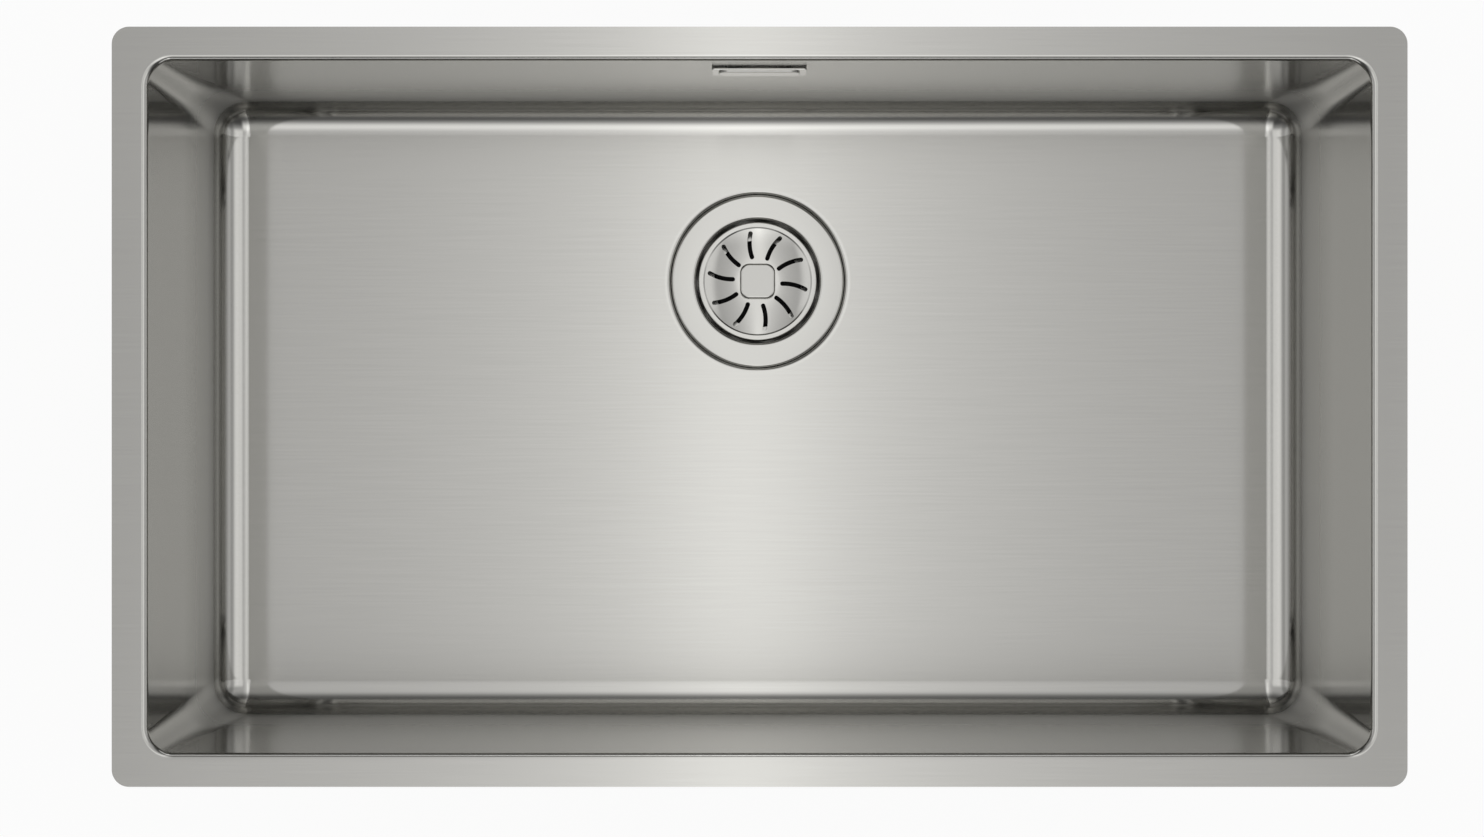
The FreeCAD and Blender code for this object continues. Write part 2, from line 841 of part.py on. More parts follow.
def add_gussets(body, size, barrel, collar, collar_foot):
    """Add the ring of gussets that stiffens the collar from below."""
    outline = new_sketch(body, "gusset_outline", "XZ_Plane")
    root = barrel - size.body_wall / 2
    reach = collar - size.gusset_inset
    polygon(outline, [(root, collar_foot), (reach, collar_foot), (barrel, collar_foot - size.gusset_height),
                      (root, collar_foot - size.gusset_height)])
    gusset = pad(body, outline, size.gusset_width, "gusset", middle=True)
    polar_pattern(body, gusset, size.gusset_count, "gussets")


def add_overflow_port(body, size, at):
    port = new_sketch(body, "port_outline", "XZ_Plane", along=at.port_axis)
    circle(port, pipe_radius(size))
    pad(body, port, size.port_reach, "port", down=True)


def add_screw_boss(body, size, at):
    """Add the boss that takes the clamping screw and the cross of ribs that carries it."""
    span = (size.waste_hole_radius + size.body_wall / 2) * 2
    for name, turn in (("rib_left", 45), ("rib_right", 135)):
        rib = new_sketch(body, f"{name}_outline", "XY_Plane", lift=at.boss_top, turn=turn)
        half_span = span / 2
        half_width = size.rib_width / 2
        polygon(rib, [(half_span, half_width), (-half_span, half_width),
                      (-half_span, -half_width), (half_span, -half_width)])
        pad(body, rib, size.rib_height, name, down=True)
    boss = new_sketch(body, "boss_outline", "XY_Plane", lift=at.boss_top)
    circle(boss, size.boss_radius)
    pad(body, boss, size.boss_height, "boss", down=True)
    bore = new_sketch(body, "boss_bore_outline", "XY_Plane", lift=at.boss_top)
    circle(bore, insert_radius(size) + size.thread_gap)
    pocket(body, bore, size.boss_height, "boss_bore")


def insert_radius(size):
    return size.screw_radius + size.thread_gap + size.insert_wall


def thread_insert(doc, size, at):
    body = new_body(doc, "thread_insert")
    on_waste_axis(body, size)
    outline = new_sketch(body, "insert_outline", "XY_Plane", lift=at.boss_top)
    ring(outline, insert_radius(size), size.screw_radius + size.thread_gap)
    pad(body, outline, size.insert_height, "insert", down=True)
    return body


def clamp_screw(doc, size, at):
    """Turn the screw that clamps cup, bowl and body, with a tall head that guides the strainer."""
    body = new_body(doc, "clamp_screw")
    on_waste_axis(body, size)
    head_top = at.well_floor + size.pilot_height
    section = new_sketch(body, "screw_section", "XZ_Plane")
    polygon(section, [
        (0, head_top),
        (size.pilot_radius, head_top),
        (size.pilot_radius, at.well_floor),
        (size.screw_radius, at.well_floor),
        (size.screw_radius, at.well_floor - size.screw_length),
        (0, at.well_floor - size.screw_length),
    ])
    revolve(body, section, "screw")
    slot = new_sketch(body, "driver_slot_outline", "XY_Plane", lift=head_top)
    reach = size.pilot_radius + size.socket_gap
    half = size.driver_slot / 2
    polygon(slot, [(reach, half), (-reach, half), (-reach, -half), (reach, -half)])
    pocket(body, slot, size.driver_depth, "driver_slot")
    return body


# Strainer


def strainer_basket(doc, size, at):
    """Press the dished strainer and cut its ring of swirling slots."""
    body = new_body(doc, "strainer_basket")
    on_waste_axis(body, size)
    rim = size.cup_mouth_radius - size.ring_gap
    section = new_sketch(body, "basket_section", "XZ_Plane")
    sheet_strip(section, [
        (size.pin_radius + size.pin_gap, at.hub_top),
        (size.hub_radius, at.hub_top, size.hub_bend),
        (size.trough_radius, at.basket_rim - size.trough_drop, size.trough_bend),
        (rim - size.rim_flat, at.basket_rim, size.trough_bend),
        (rim, at.basket_rim, 0),
        (rim, at.basket_rim - size.rim_turn),
    ], size.basket_sheet)
    revolve(body, section, "basket_pressing")
    outline = new_sketch(body, "slot_outline", "XY_Plane", lift=at.basket_rim)
    swirl_slot(outline, size)
    slot = pocket(body, outline, size.trough_drop + size.basket_sheet * 2, "swirl_slot")
    polar_pattern(body, slot, size.slot_count, "swirl_slots")
    return body


def swirl_slot(sketch, size):
    """Draw one slot that bends as it runs outwards, with round ends."""
    ends = []
    for radius, turn in ((size.slot_start, size.slot_start_turn), (size.slot_end, size.slot_end_turn)):
        ends.append((radius * cosine(turn), -(radius * sine(turn))))
    start, end = [Vector(x.value, y.value, 0) for x, y in ends]
    sweep = size.slot_sweep.value
    half = size.slot_width.value / 2
    chord = end - start
    rise = math.sqrt(sweep ** 2 - (chord.Length / 2) ** 2)
    centre = (start + end) * 0.5 + line_normal(start, end) * rise
    from_start = math.atan2(start.y - centre.y, start.x - centre.x)
    from_end = math.atan2(end.y - centre.y, end.x - centre.x)
    up = Vector(0, 0, 1)
    arcs = [
        Part.ArcOfCircle(Part.Circle(centre, up, sweep + half), from_end, from_start),
        Part.ArcOfCircle(Part.Circle(start, up, half), from_start, from_start + math.pi),
        Part.ArcOfCircle(Part.Circle(centre, up, sweep - half), from_end, from_start),
        Part.ArcOfCircle(Part.Circle(end, up, half), from_end + math.pi, from_end + 2 * math.pi),
    ]
    for arc in arcs:
        sketch.addGeometry(arc, False)
    constrain(sketch, "Tangent", 0, 2, 1, 1)
    constrain(sketch, "Tangent", 1, 2, 2, 2)
    constrain(sketch, "Tangent", 2, 1, 3, 1)
    constrain(sketch, "Tangent", 3, 2, 0, 1)
    dimension(sketch, "Radius", 0, size.slot_sweep + size.slot_width / 2)
    dimension(sketch, "Radius", 2, size.slot_sweep - size.slot_width / 2)
    locate(sketch, 1, 3, *ends[0])
    locate(sketch, 3, 3, *ends[1])


def strainer_knob(doc, size, at):
    """Mould the rounded square knob, bored for the stem's pin."""
    body = new_body(doc, "strainer_knob")
    on_waste_axis(body, size)
    foot = at.hub_top + size.knob_gap
    outline = new_sketch(body, "knob_outline", "XY_Plane", lift=foot)
    rounded_rectangle(outline, size.knob_across, size.knob_across, size.knob_corner)
    block = pad(body, outline, size.knob_height, "knob_block")
    top = foot + size.knob_height
    fillet(doc, body, block, size.knob_edge, "knob_edge", level_edge(top.value))
    bore = new_sketch(body, "knob_bore_outline", "XY_Plane", lift=foot)
    circle(bore, size.pin_radius + size.thread_gap)
    pocket(body, bore, size.pin_grip + size.thread_gap, "knob_bore", up=True)
    return body


def strainer_stem(doc, size, at):
    """Turn the stem: a pin through the basket, a flange on the plug and a socket for the screw."""
    body = new_body(doc, "strainer_stem")
    on_waste_axis(body, size)
    shoulder = at.hub_under - size.shoulder_gap
    pin_top = at.hub_top + size.knob_gap + size.pin_grip
    flange_top = at.seal_top + size.stem_flange_height
    socket_top = at.well_floor + size.pilot_height + size.socket_room
    socket = size.pilot_radius + size.socket_gap
    section = new_sketch(body, "stem_section", "XZ_Plane")
    polygon(section, [
        (0, pin_top),
        (size.pin_radius, pin_top),
        (size.pin_radius, shoulder),
        (size.stem_radius, shoulder),
        (size.stem_radius, flange_top),
        (size.stem_flange_radius, flange_top),
        (size.stem_flange_radius, at.seal_top),
        (size.stem_radius, at.seal_top),
        (size.stem_radius, at.stem_foot),
        (socket, at.stem_foot),
        (socket, socket_top),
        (0, socket_top),
    ])
    revolve(body, section, "stem")
    return body


def plug_seal(doc, size, at):
    """Mould the rubber plug that covers the cup's drain holes."""
    body = new_body(doc, "plug_seal")
    on_waste_axis(body, size)
    outline = new_sketch(body, "seal_outline", "XY_Plane", lift=at.seal_under)
    radius = (size.well_radius + size.well_slope + size.drain_hole_web
              + size.drain_hole_radius * 2 + size.seal_overlap)
    ring(outline, radius, size.stem_radius + size.thread_gap)
    disc = pad(body, outline, size.seal_height, "seal_disc")
    at_top = level_edge(at.seal_top.value)
    chamfer(doc, body, disc, size.seal_height / 2, "seal_slope",
            lambda edge: at_top(edge) and edge.BoundBox.XMax > size.stem_radius.value * 2)
    return body


def seal_nut(doc, size, at):
    """Turn the nut that holds the rubber plug on the stem, inside the cup's well."""
    body = new_body(doc, "seal_nut")
    on_waste_axis(body, size)
    outline = new_sketch(body, "seal_nut_outline", "XY_Plane", lift=at.stem_foot)
    ring(outline, size.seal_nut_radius, size.stem_radius + size.thread_gap)
    pad(body, outline, at.seal_under - at.stem_foot, "seal_nut_ring")
    return body


# Overflow


def overflow_cover(doc, size):
    """Press the cover with its sunk panel and weld its two studs."""
    body = new_body(doc, "overflow_cover")
    on_back_wall(body, size)
    back = -(size.steel + size.cover_gap)
    outline = new_sketch(body, "cover_outline", "XZ_Plane", lift=-back)
    rounded_rectangle(outline, size.cover_length, size.cover_height, size.cover_corner)
    pad(body, outline, size.cover_depth, "cover_plate")
    front = back - size.cover_depth
    panel = new_sketch(body, "panel_outline", "XZ_Plane", lift=-front)
    rounded_rectangle(panel, size.cover_length - size.panel_inset * 2,
                      size.cover_height - size.panel_inset * 2, size.panel_corner)
    pocket(body, panel, size.panel_depth, "panel")
    stud_end = housing_back(size) + size.stud_nut_height + size.stud_tail
    studs = new_sketch(body, "stud_outline", "XZ_Plane", lift=-back)
    for side in (-1, 1):
        circle(studs, size.stud_radius, x=size.stud_spacing / 2 * side)
    pad(body, studs, stud_end - back, "studs", down=True)
    return body


def overflow_gasket(doc, size):
    body = new_body(doc, "overflow_gasket")
    on_back_wall(body, size)
    outline = new_sketch(body, "overflow_gasket_outline", "XZ_Plane")
    corner = size.overflow_corner
    rounded_rectangle(outline, *housing_front(size), size.housing_corner)
    pad(body, outline, size.overflow_gasket_height, "overflow_gasket_sheet", down=True)
    window = new_sketch(body, "gasket_window_outline", "XZ_Plane")
    rounded_rectangle(window, size.overflow_length, size.overflow_height, corner)
    pocket(body, window, size.overflow_gasket_height, "gasket_window")
    return body


def housing_front(size):
    """Return the length and the height of the housing's front edge."""
    border = size.housing_flange * 2
    return size.overflow_length + border, size.overflow_height + border


def overflow_housing(doc, size):
    """Mould the box behind the opening, with a deeper foot, two posts and the pipe."""
    body = new_body(doc, "overflow_housing")
    on_back_wall(body, size)
    front = size.overflow_gasket_height
    back = housing_back(size)
    length, height = housing_front(size)
    top = height / 2
    foot = -top
    foot_back = size.pipe_offset + pipe_radius(size)
    step_top = foot + size.housing_step + (foot_back - back)
    outside = new_sketch(body, "housing_outside", "YZ_Plane")
    polygon(outside, [(front, top), (back, top), (back, step_top),
                      (foot_back, foot + size.housing_step), (foot_back, foot), (front, foot)])
    form = pad(body, outside, length, "housing_form", middle=True)
    fillet(doc, body, form, size.housing_corner, "housing_corners", deep_edge)
    wall = size.housing_wall
    inside = new_sketch(body, "housing_inside", "YZ_Plane")
    polygon(inside, [(front, top - wall), (back - wall, top - wall), (back - wall, step_top),
                     (foot_back - wall, foot + size.housing_step), (foot_back - wall, foot + wall),
                     (front, foot + wall)])
    pocket(body, inside, length - wall * 2, "housing_hollow", middle=True)
    pipe = new_sketch(body, "pipe_outline", "XY_Plane", along=size.pipe_offset, lift=foot + wall)
    circle(pipe, pipe_radius(size))
    pad(body, pipe, wall + size.pipe_length, "pipe", down=True)
    bore = new_sketch(body, "pipe_bore_outline", "XY_Plane", along=size.pipe_offset, lift=foot + wall)
    circle(bore, size.pipe_bore)
    pocket(body, bore, wall + size.pipe_length, "pipe_bore")
    add_cover_posts(body, size, back)
    return body


def add_cover_posts(body, size, back):
    """Add the posts that set the cover's gap, with clearance holes for its studs."""
    front = -(size.steel + size.cover_gap)
    posts = new_sketch(body, "post_outline", "XZ_Plane", lift=-front)
    holes = new_sketch(body, "stud_hole_outline", "XZ_Plane", lift=-front)
    for side in (-1, 1):
        circle(posts, size.post_radius, x=size.stud_spacing / 2 * side)
        circle(holes, size.stud_radius + size.stud_gap, x=size.stud_spacing / 2 * side)
    pad(body, posts, back - front, "posts", down=True)
    pocket(body, holes, back - front, "stud_holes")


def overflow_nuts(doc, size):
    """Make the two nuts that pull the cover's studs tight, as separate solids."""
    nuts = []
    for side, name in ((-1, "stud_nut_left"), (1, "stud_nut_right")):
        prism = doc.addObject("Part::Prism", name)
        prism.Polygon = 6
        bind(prism, Circumradius=size.stud_nut_across / 2 / cosine(Size(30, "30")),
             Height=size.stud_nut_height)
        hole = doc.addObject("Part::Cylinder", f"{name}_hole")
        bind(hole, Radius=size.stud_radius + size.thread_gap, Height=size.stud_nut_height)
        nut = doc.addObject("Part::Cut", f"{name}_cut")
        nut.Base = prism
        nut.Tool = hole
        place(nut, x=size.stud_spacing / 2 * side, y=housing_back(size), roll=-90)
        nuts.append(nut)
    group = doc.addObject("Part::Compound", "overflow_nuts")
    group.Label = "overflow_nuts"
    group.Links = nuts
    on_back_wall(group, size)
    return group


# Pipe joints and hose


def top_joint(body, name, size):
    """Sketch on the overflow pipe's axis, with Y pointing out of its end."""
    return new_sketch(body, name, "XZ_Plane", lift=-size.pipe_offset, along=pipe_end(size), turn=180)


def low_joint(body, name, size, at):
    """Sketch on the waste body's port axis, with Y pointing out of its end."""
    return new_sketch(body, name, "XY_Plane", lift=at.port_axis, along=size.port_reach)


def nut_cap(size):
    """Return how far a cap nut reaches past the end of its pipe."""
    return size.pipe_seal_height + size.pipe_nut_wall


def pipe_nut(body, section, grip, size):
    """Turn the cap nut that squeezes the seal onto the hose's cuff, and flute it for the grip."""
    inner = pipe_radius(size) + size.thread_gap
    outer = inner + size.pipe_nut_wall
    cap_hole = size.hose_cuff_radius + size.pin_gap
    polygon(section, [
        (inner, -size.pipe_nut_skirt),
        (outer, -size.pipe_nut_skirt),
        (outer, nut_cap(size)),
        (cap_hole, nut_cap(size)),
        (cap_hole, size.pipe_seal_height),
        (inner, size.pipe_seal_height),
    ])
    revolve(body, section, "nut")
    circle(grip, size.pipe_grip_radius, x=outer)
    flute = pocket(body, grip, size.pipe_nut_skirt + nut_cap(size), "flute", up=True)
    polar_pattern(body, flute, size.pipe_nut_grips, "flutes", axis=(grip, ["N_Axis"]))


def pipe_seal(body, section, size):
    """Cut the ring between the pipe's end and the nut's cap."""
    inner = size.hose_cuff_radius + size.thread_gap
    outer = pipe_radius(size)
    height = size.pipe_seal_height
    polygon(section, [(inner, 0), (outer, 0), (outer, height), (inner, height)])
    revolve(body, section, "seal")


def top_nut(doc, size):
    body = new_body(doc, "hose_nut_top")
    on_back_wall(body, size)
    grip = new_sketch(body, "top_grip_outline", "XY_Plane", lift=pipe_end(size) - nut_cap(size),
                      along=size.pipe_offset)
    pipe_nut(body, top_joint(body, "top_nut_section", size), grip, size)
    return body


def low_nut(doc, size, at):
    body = new_body(doc, "hose_nut_bottom")
    on_waste_axis(body, size)
    grip = new_sketch(body, "low_grip_outline", "XZ_Plane", lift=-(size.port_reach + nut_cap(size)),
                      along=at.port_axis)
    pipe_nut(body, low_joint(body, "low_nut_section", size, at), grip, size)
    return body


def top_seal(doc, size):
    body = new_body(doc, "hose_seal_top")
    on_back_wall(body, size)
    pipe_seal(body, top_joint(body, "top_seal_section", size), size)
    return body


def low_seal(doc, size, at):
    body = new_body(doc, "hose_seal_bottom")
    on_waste_axis(body, size)
    pipe_seal(body, low_joint(body, "low_seal_section", size, at), size)
    return body


class HosePath:
    """The hose's line: down along the wall, round one turn, and level into the waste's port."""

    def __init__(self, size, at):
        self.lean = math.atan(wall_slope(size).value)
        wall = mouth_width(size).value / 2 + size.steel.value
        wall -= wall_slope(size).value * size.overflow_drop.value
        frame = Placement(Vector(0, wall, -size.overflow_drop.value),
                          Rotation(Vector(1, 0, 0), -math.degrees(self.lean)))
        start = pipe_end(size).value + size.hose_insert.value
        self.start = frame.multVec(Vector(0, size.pipe_offset.value, start))
        self.radius = size.hose_turn.value
        port_height = at.port_axis.value - size.bowl_depth.value
        self.port_end = Vector(0, waste_offset(size).value + size.port_reach.value, port_height)
        turn_drop = self.radius * (1 - math.sin(self.lean))
        self.fall = (self.start.z - port_height - turn_drop) / math.cos(self.lean)
        self.turn = self.radius * (math.pi / 2 - self.lean)
        turn_end = self.station(self.fall + self.turn).Base.y
        self.level = turn_end - self.port_end.y + size.hose_insert.value
        self.length = self.fall + self.turn + self.level

    def station(self, distance):
        """Return the placement whose Z runs along the hose at a distance from its start."""
        along_fall = min(distance, self.fall)
        down = Vector(0, -math.sin(self.lean), -math.cos(self.lean))
        point = self.start + down * along_fall
        bend = min(max(distance - self.fall, 0) / self.radius, math.pi / 2 - self.lean)
        heading = self.lean + bend
        point += Vector(0, math.cos(heading) - math.cos(self.lean),
                        math.sin(self.lean) - math.sin(heading)) * self.radius
        beyond = max(distance - self.fall - self.radius * (math.pi / 2 - self.lean), 0)
        point += Vector(0, -beyond, 0)
        return Placement(point, Rotation(Vector(1, 0, 0), 180 - math.degrees(heading)))


def hose_ring(path, distance, radius):
    """Return a round wire across the hose."""
    wire = Part.Wire(Part.makeCircle(radius))
    wire.Placement = path.station(distance)
    return wire


def overflow_hose(doc, size, at):
    """Make the ribbed hose from rings, four to a rib, and open its smooth bore."""
    path = HosePath(size, at)
    cuff = size.hose_cuff_length.value
    ribbed = path.length - 2 * cuff
    ribs = int(ribbed / size.hose_pitch.value)
    pitch = ribbed / ribs
    rings = [hose_ring(path, 0, size.hose_cuff_radius.value),
             hose_ring(path, cuff, size.hose_cuff_radius.value)]
    for rib in range(ribs):
        start = cuff + rib * pitch
        for share, radius in ((0.25, size.hose_root), (0.4, size.hose_crest),
                              (0.7, size.hose_crest), (0.85, size.hose_root)):
            rings.append(hose_ring(path, start + share * pitch, radius.value))
    rings += [hose_ring(path, path.length - cuff, size.hose_cuff_radius.value),
              hose_ring(path, path.length, size.hose_cuff_radius.value)]
    skin = Part.makeLoft(rings, True, True)
    shape = skin.cut(hose_bore(path, size.hose_bore.value))
    hose = doc.addObject("Part::Feature", "overflow_hose")
    hose.Shape = shape
    hose.Placement = Placement()
    print(f"hose: {ribs} ribs, {path.length:.1f} mm long, bent to {path.radius:.0f} mm")
    return hose


def hose_bore(path, radius):
    """Return the solid of the hose's smooth bore: two straight runs and a turn."""
    marks = [0, path.fall, path.fall + path.turn, path.length]
    points = [path.station(mark).Base for mark in marks]
    middle = path.station(path.fall + path.turn / 2).Base
    edges = [
        Part.LineSegment(points[0], points[1]).toShape(),
        Part.Arc(points[1], middle, points[2]).toShape(),
        Part.LineSegment(points[2], points[3]).toShape(),
    ]
    return Part.Wire(edges).makePipeShell([hose_ring(path, 0, radius)], True, True)


def check_and_write(doc, parts):
    """Stop on any failed object, then write each sub-part to its own file."""
    doc.recompute()
    for feature in doc.Objects:
        if {"Invalid", "Error"} & set(feature.State):
            raise RuntimeError(f"{feature.Name} failed: {feature.State}")
    os.makedirs("parts", exist_ok=True)
    for part in parts:
        if part.Shape.isNull() or not part.Shape.isValid():
            raise RuntimeError(f"{part.Label} has no valid shape")
    for part in parts:
        part.Shape.exportStep(f"parts/{part.Label}.step")


def main():
    doc = FreeCAD.newDocument("undermount_sink")
    size = write_sheet(doc)
    at = heights(size)
    parts = [sink_bowl(doc, size)]
    parts += sound_pads(doc, size)
    parts += [
        waste_cup(doc, size, at),
        gasket(doc, size, "cup_gasket", -size.recess_depth, size.cup_gasket_height),
        gasket(doc, size, "under_gasket", at.collar_top, size.under_gasket_height),
        waste_body(doc, size, at),
        outlet_tail(doc, size, at),
        thread_insert(doc, size, at),
        clamp_screw(doc, size, at),
        strainer_basket(doc, size, at),
        strainer_knob(doc, size, at),
        strainer_stem(doc, size, at),
        plug_seal(doc, size, at),
        seal_nut(doc, size, at),
        overflow_cover(doc, size),
        overflow_gasket(doc, size),
        overflow_housing(doc, size),
        overflow_nuts(doc, size),
        top_nut(doc, size),
        low_nut(doc, size, at),
        top_seal(doc, size),
        low_seal(doc, size, at),
        overflow_hose(doc, size, at),
    ]
    check_and_write(doc, parts)


main()
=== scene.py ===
"""Undermount kitchen sink, dressed for the render: pressed bowl, strainer waste and overflow.

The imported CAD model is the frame. Pieces are modelled in millimetres in the row frame: the
origin is the middle of the rim's top face, +X runs along the long side, +Y points to the
back wall with the overflow, and +Z is up. Each mesh is turned to metres when it is finished.
"""

import logging
import math
from dataclasses import dataclass
from enum import Enum

import bmesh
import bpy
from bmesh.types import BMEdge, BMesh, BMVert
from bpy.types import Material, Modifier, Node, NodeSocket, NodeTree, Object
from mathutils import Matrix, Vector


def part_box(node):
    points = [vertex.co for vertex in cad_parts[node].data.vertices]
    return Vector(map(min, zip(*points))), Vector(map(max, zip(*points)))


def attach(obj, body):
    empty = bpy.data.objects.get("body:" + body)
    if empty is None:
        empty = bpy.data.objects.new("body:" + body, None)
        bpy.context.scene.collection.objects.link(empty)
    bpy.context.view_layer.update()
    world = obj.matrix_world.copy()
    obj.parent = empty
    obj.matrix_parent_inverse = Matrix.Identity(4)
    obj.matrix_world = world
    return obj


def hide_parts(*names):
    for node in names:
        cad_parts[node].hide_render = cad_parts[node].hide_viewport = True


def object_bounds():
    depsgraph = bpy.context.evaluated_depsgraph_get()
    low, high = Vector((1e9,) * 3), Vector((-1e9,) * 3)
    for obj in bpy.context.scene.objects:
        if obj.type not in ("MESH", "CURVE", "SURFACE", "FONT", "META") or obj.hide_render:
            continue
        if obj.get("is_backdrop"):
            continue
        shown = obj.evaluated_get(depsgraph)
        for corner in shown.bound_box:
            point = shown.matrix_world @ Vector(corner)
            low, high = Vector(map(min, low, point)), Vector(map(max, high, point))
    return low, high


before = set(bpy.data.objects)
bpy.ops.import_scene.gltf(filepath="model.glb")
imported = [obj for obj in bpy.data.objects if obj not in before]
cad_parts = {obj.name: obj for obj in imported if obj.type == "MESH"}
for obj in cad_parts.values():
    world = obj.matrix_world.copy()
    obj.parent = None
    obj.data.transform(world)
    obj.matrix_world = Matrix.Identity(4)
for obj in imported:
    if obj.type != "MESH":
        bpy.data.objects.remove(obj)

LOG = logging.getLogger("sink")
MM = 0.001
FULL_TURN = 2 * math.pi
UP = Vector((0, 0, 1))
QUADRANTS = ((1, 1), (-1, 1), (-1, -1), (1, -1))
SHARP_ANGLE = math.radians(38)  # edges turned further than this stay sharp in the shading
ON_LEVEL = 0.01  # mm within which a point counts as lying on a level
ON_RING = 0.0025  # mm within which a point counts as lying on a ring
SEAM = 0.0005  # mm within which the ends of a full spin are merged
WELD = 0.002  # mm within which the points of a copied node are merged
FLAT_ANGLE = math.radians(0.5)  # triangles that turn less than this are one face
EDGE_STEPS = 5


class Body(Enum):
    """The CAD bodies that pieces ride on."""

    SINK = "sink"
    PLUG = "strainer_plug"
    BASKET = "basket"


class Brush(Enum):
    """How the lines of a brushed finish run over a piece."""

    LEVEL = "level"
    ROUND = "round"
    NONE = "none"


# Colours and nodes


def linear_colour(code: str) -> tuple[float, float, float, float]:
    """Turn an sRGB hex colour into the linear values that shaders take.

    Args:
        code: colour such as "#C8C8C4".

    Returns:
        Linear red, green and blue, with an alpha of 1.
    """
    parts = [int(code[start:start + 2], 16) / 255 for start in (1, 3, 5)]
    red, green, blue = [part / 12.92 if part <= 0.04045 else ((part + 0.055) / 1.055) ** 2.4
                        for part in parts]
    return red, green, blue, 1.0


def add_node(tree: NodeTree, kind: str, feeds: dict | None = None, **settings) -> Node:
    """Add a node, give it its settings, and feed its inputs.

    Args:
        tree: node tree that gets the node.
        kind: class name of the node.
        feeds: input name or number, with the plain value or the output socket that feeds it.
        settings: properties of the node.

    Returns:
        The new node.
    """
    node = tree.nodes.new(kind)
    for name, value in settings.items():
        setattr(node, name, value)
    for name, value in (feeds or {}).items():
        if isinstance(value, NodeSocket):
            tree.links.new(value, node.inputs[name])
        else:
            node.inputs[name].default_value = value
    return node


# Finishes


@dataclass(frozen=True)
class Finish:
    """A named material and the record's slot that it belongs to."""

    name: str
    slot: str

    def material(self) -> Material:
        """Give the finish's material, and make it on first use.

        Returns:
            The material.
        """
        known = bpy.data.materials.get(self.name)
        if known:
            return known
        material = bpy.data.materials.new(self.name)
        material.use_nodes = True
        material.node_tree.nodes.clear()
        shader = self.shade(material.node_tree)
        add_node(material.node_tree, "ShaderNodeOutputMaterial", {"Surface": shader.outputs[0]})
        return material

    def shade(self, tree: NodeTree) -> Node:
        """Build the finish's nodes and return the shader."""
        raise NotImplementedError


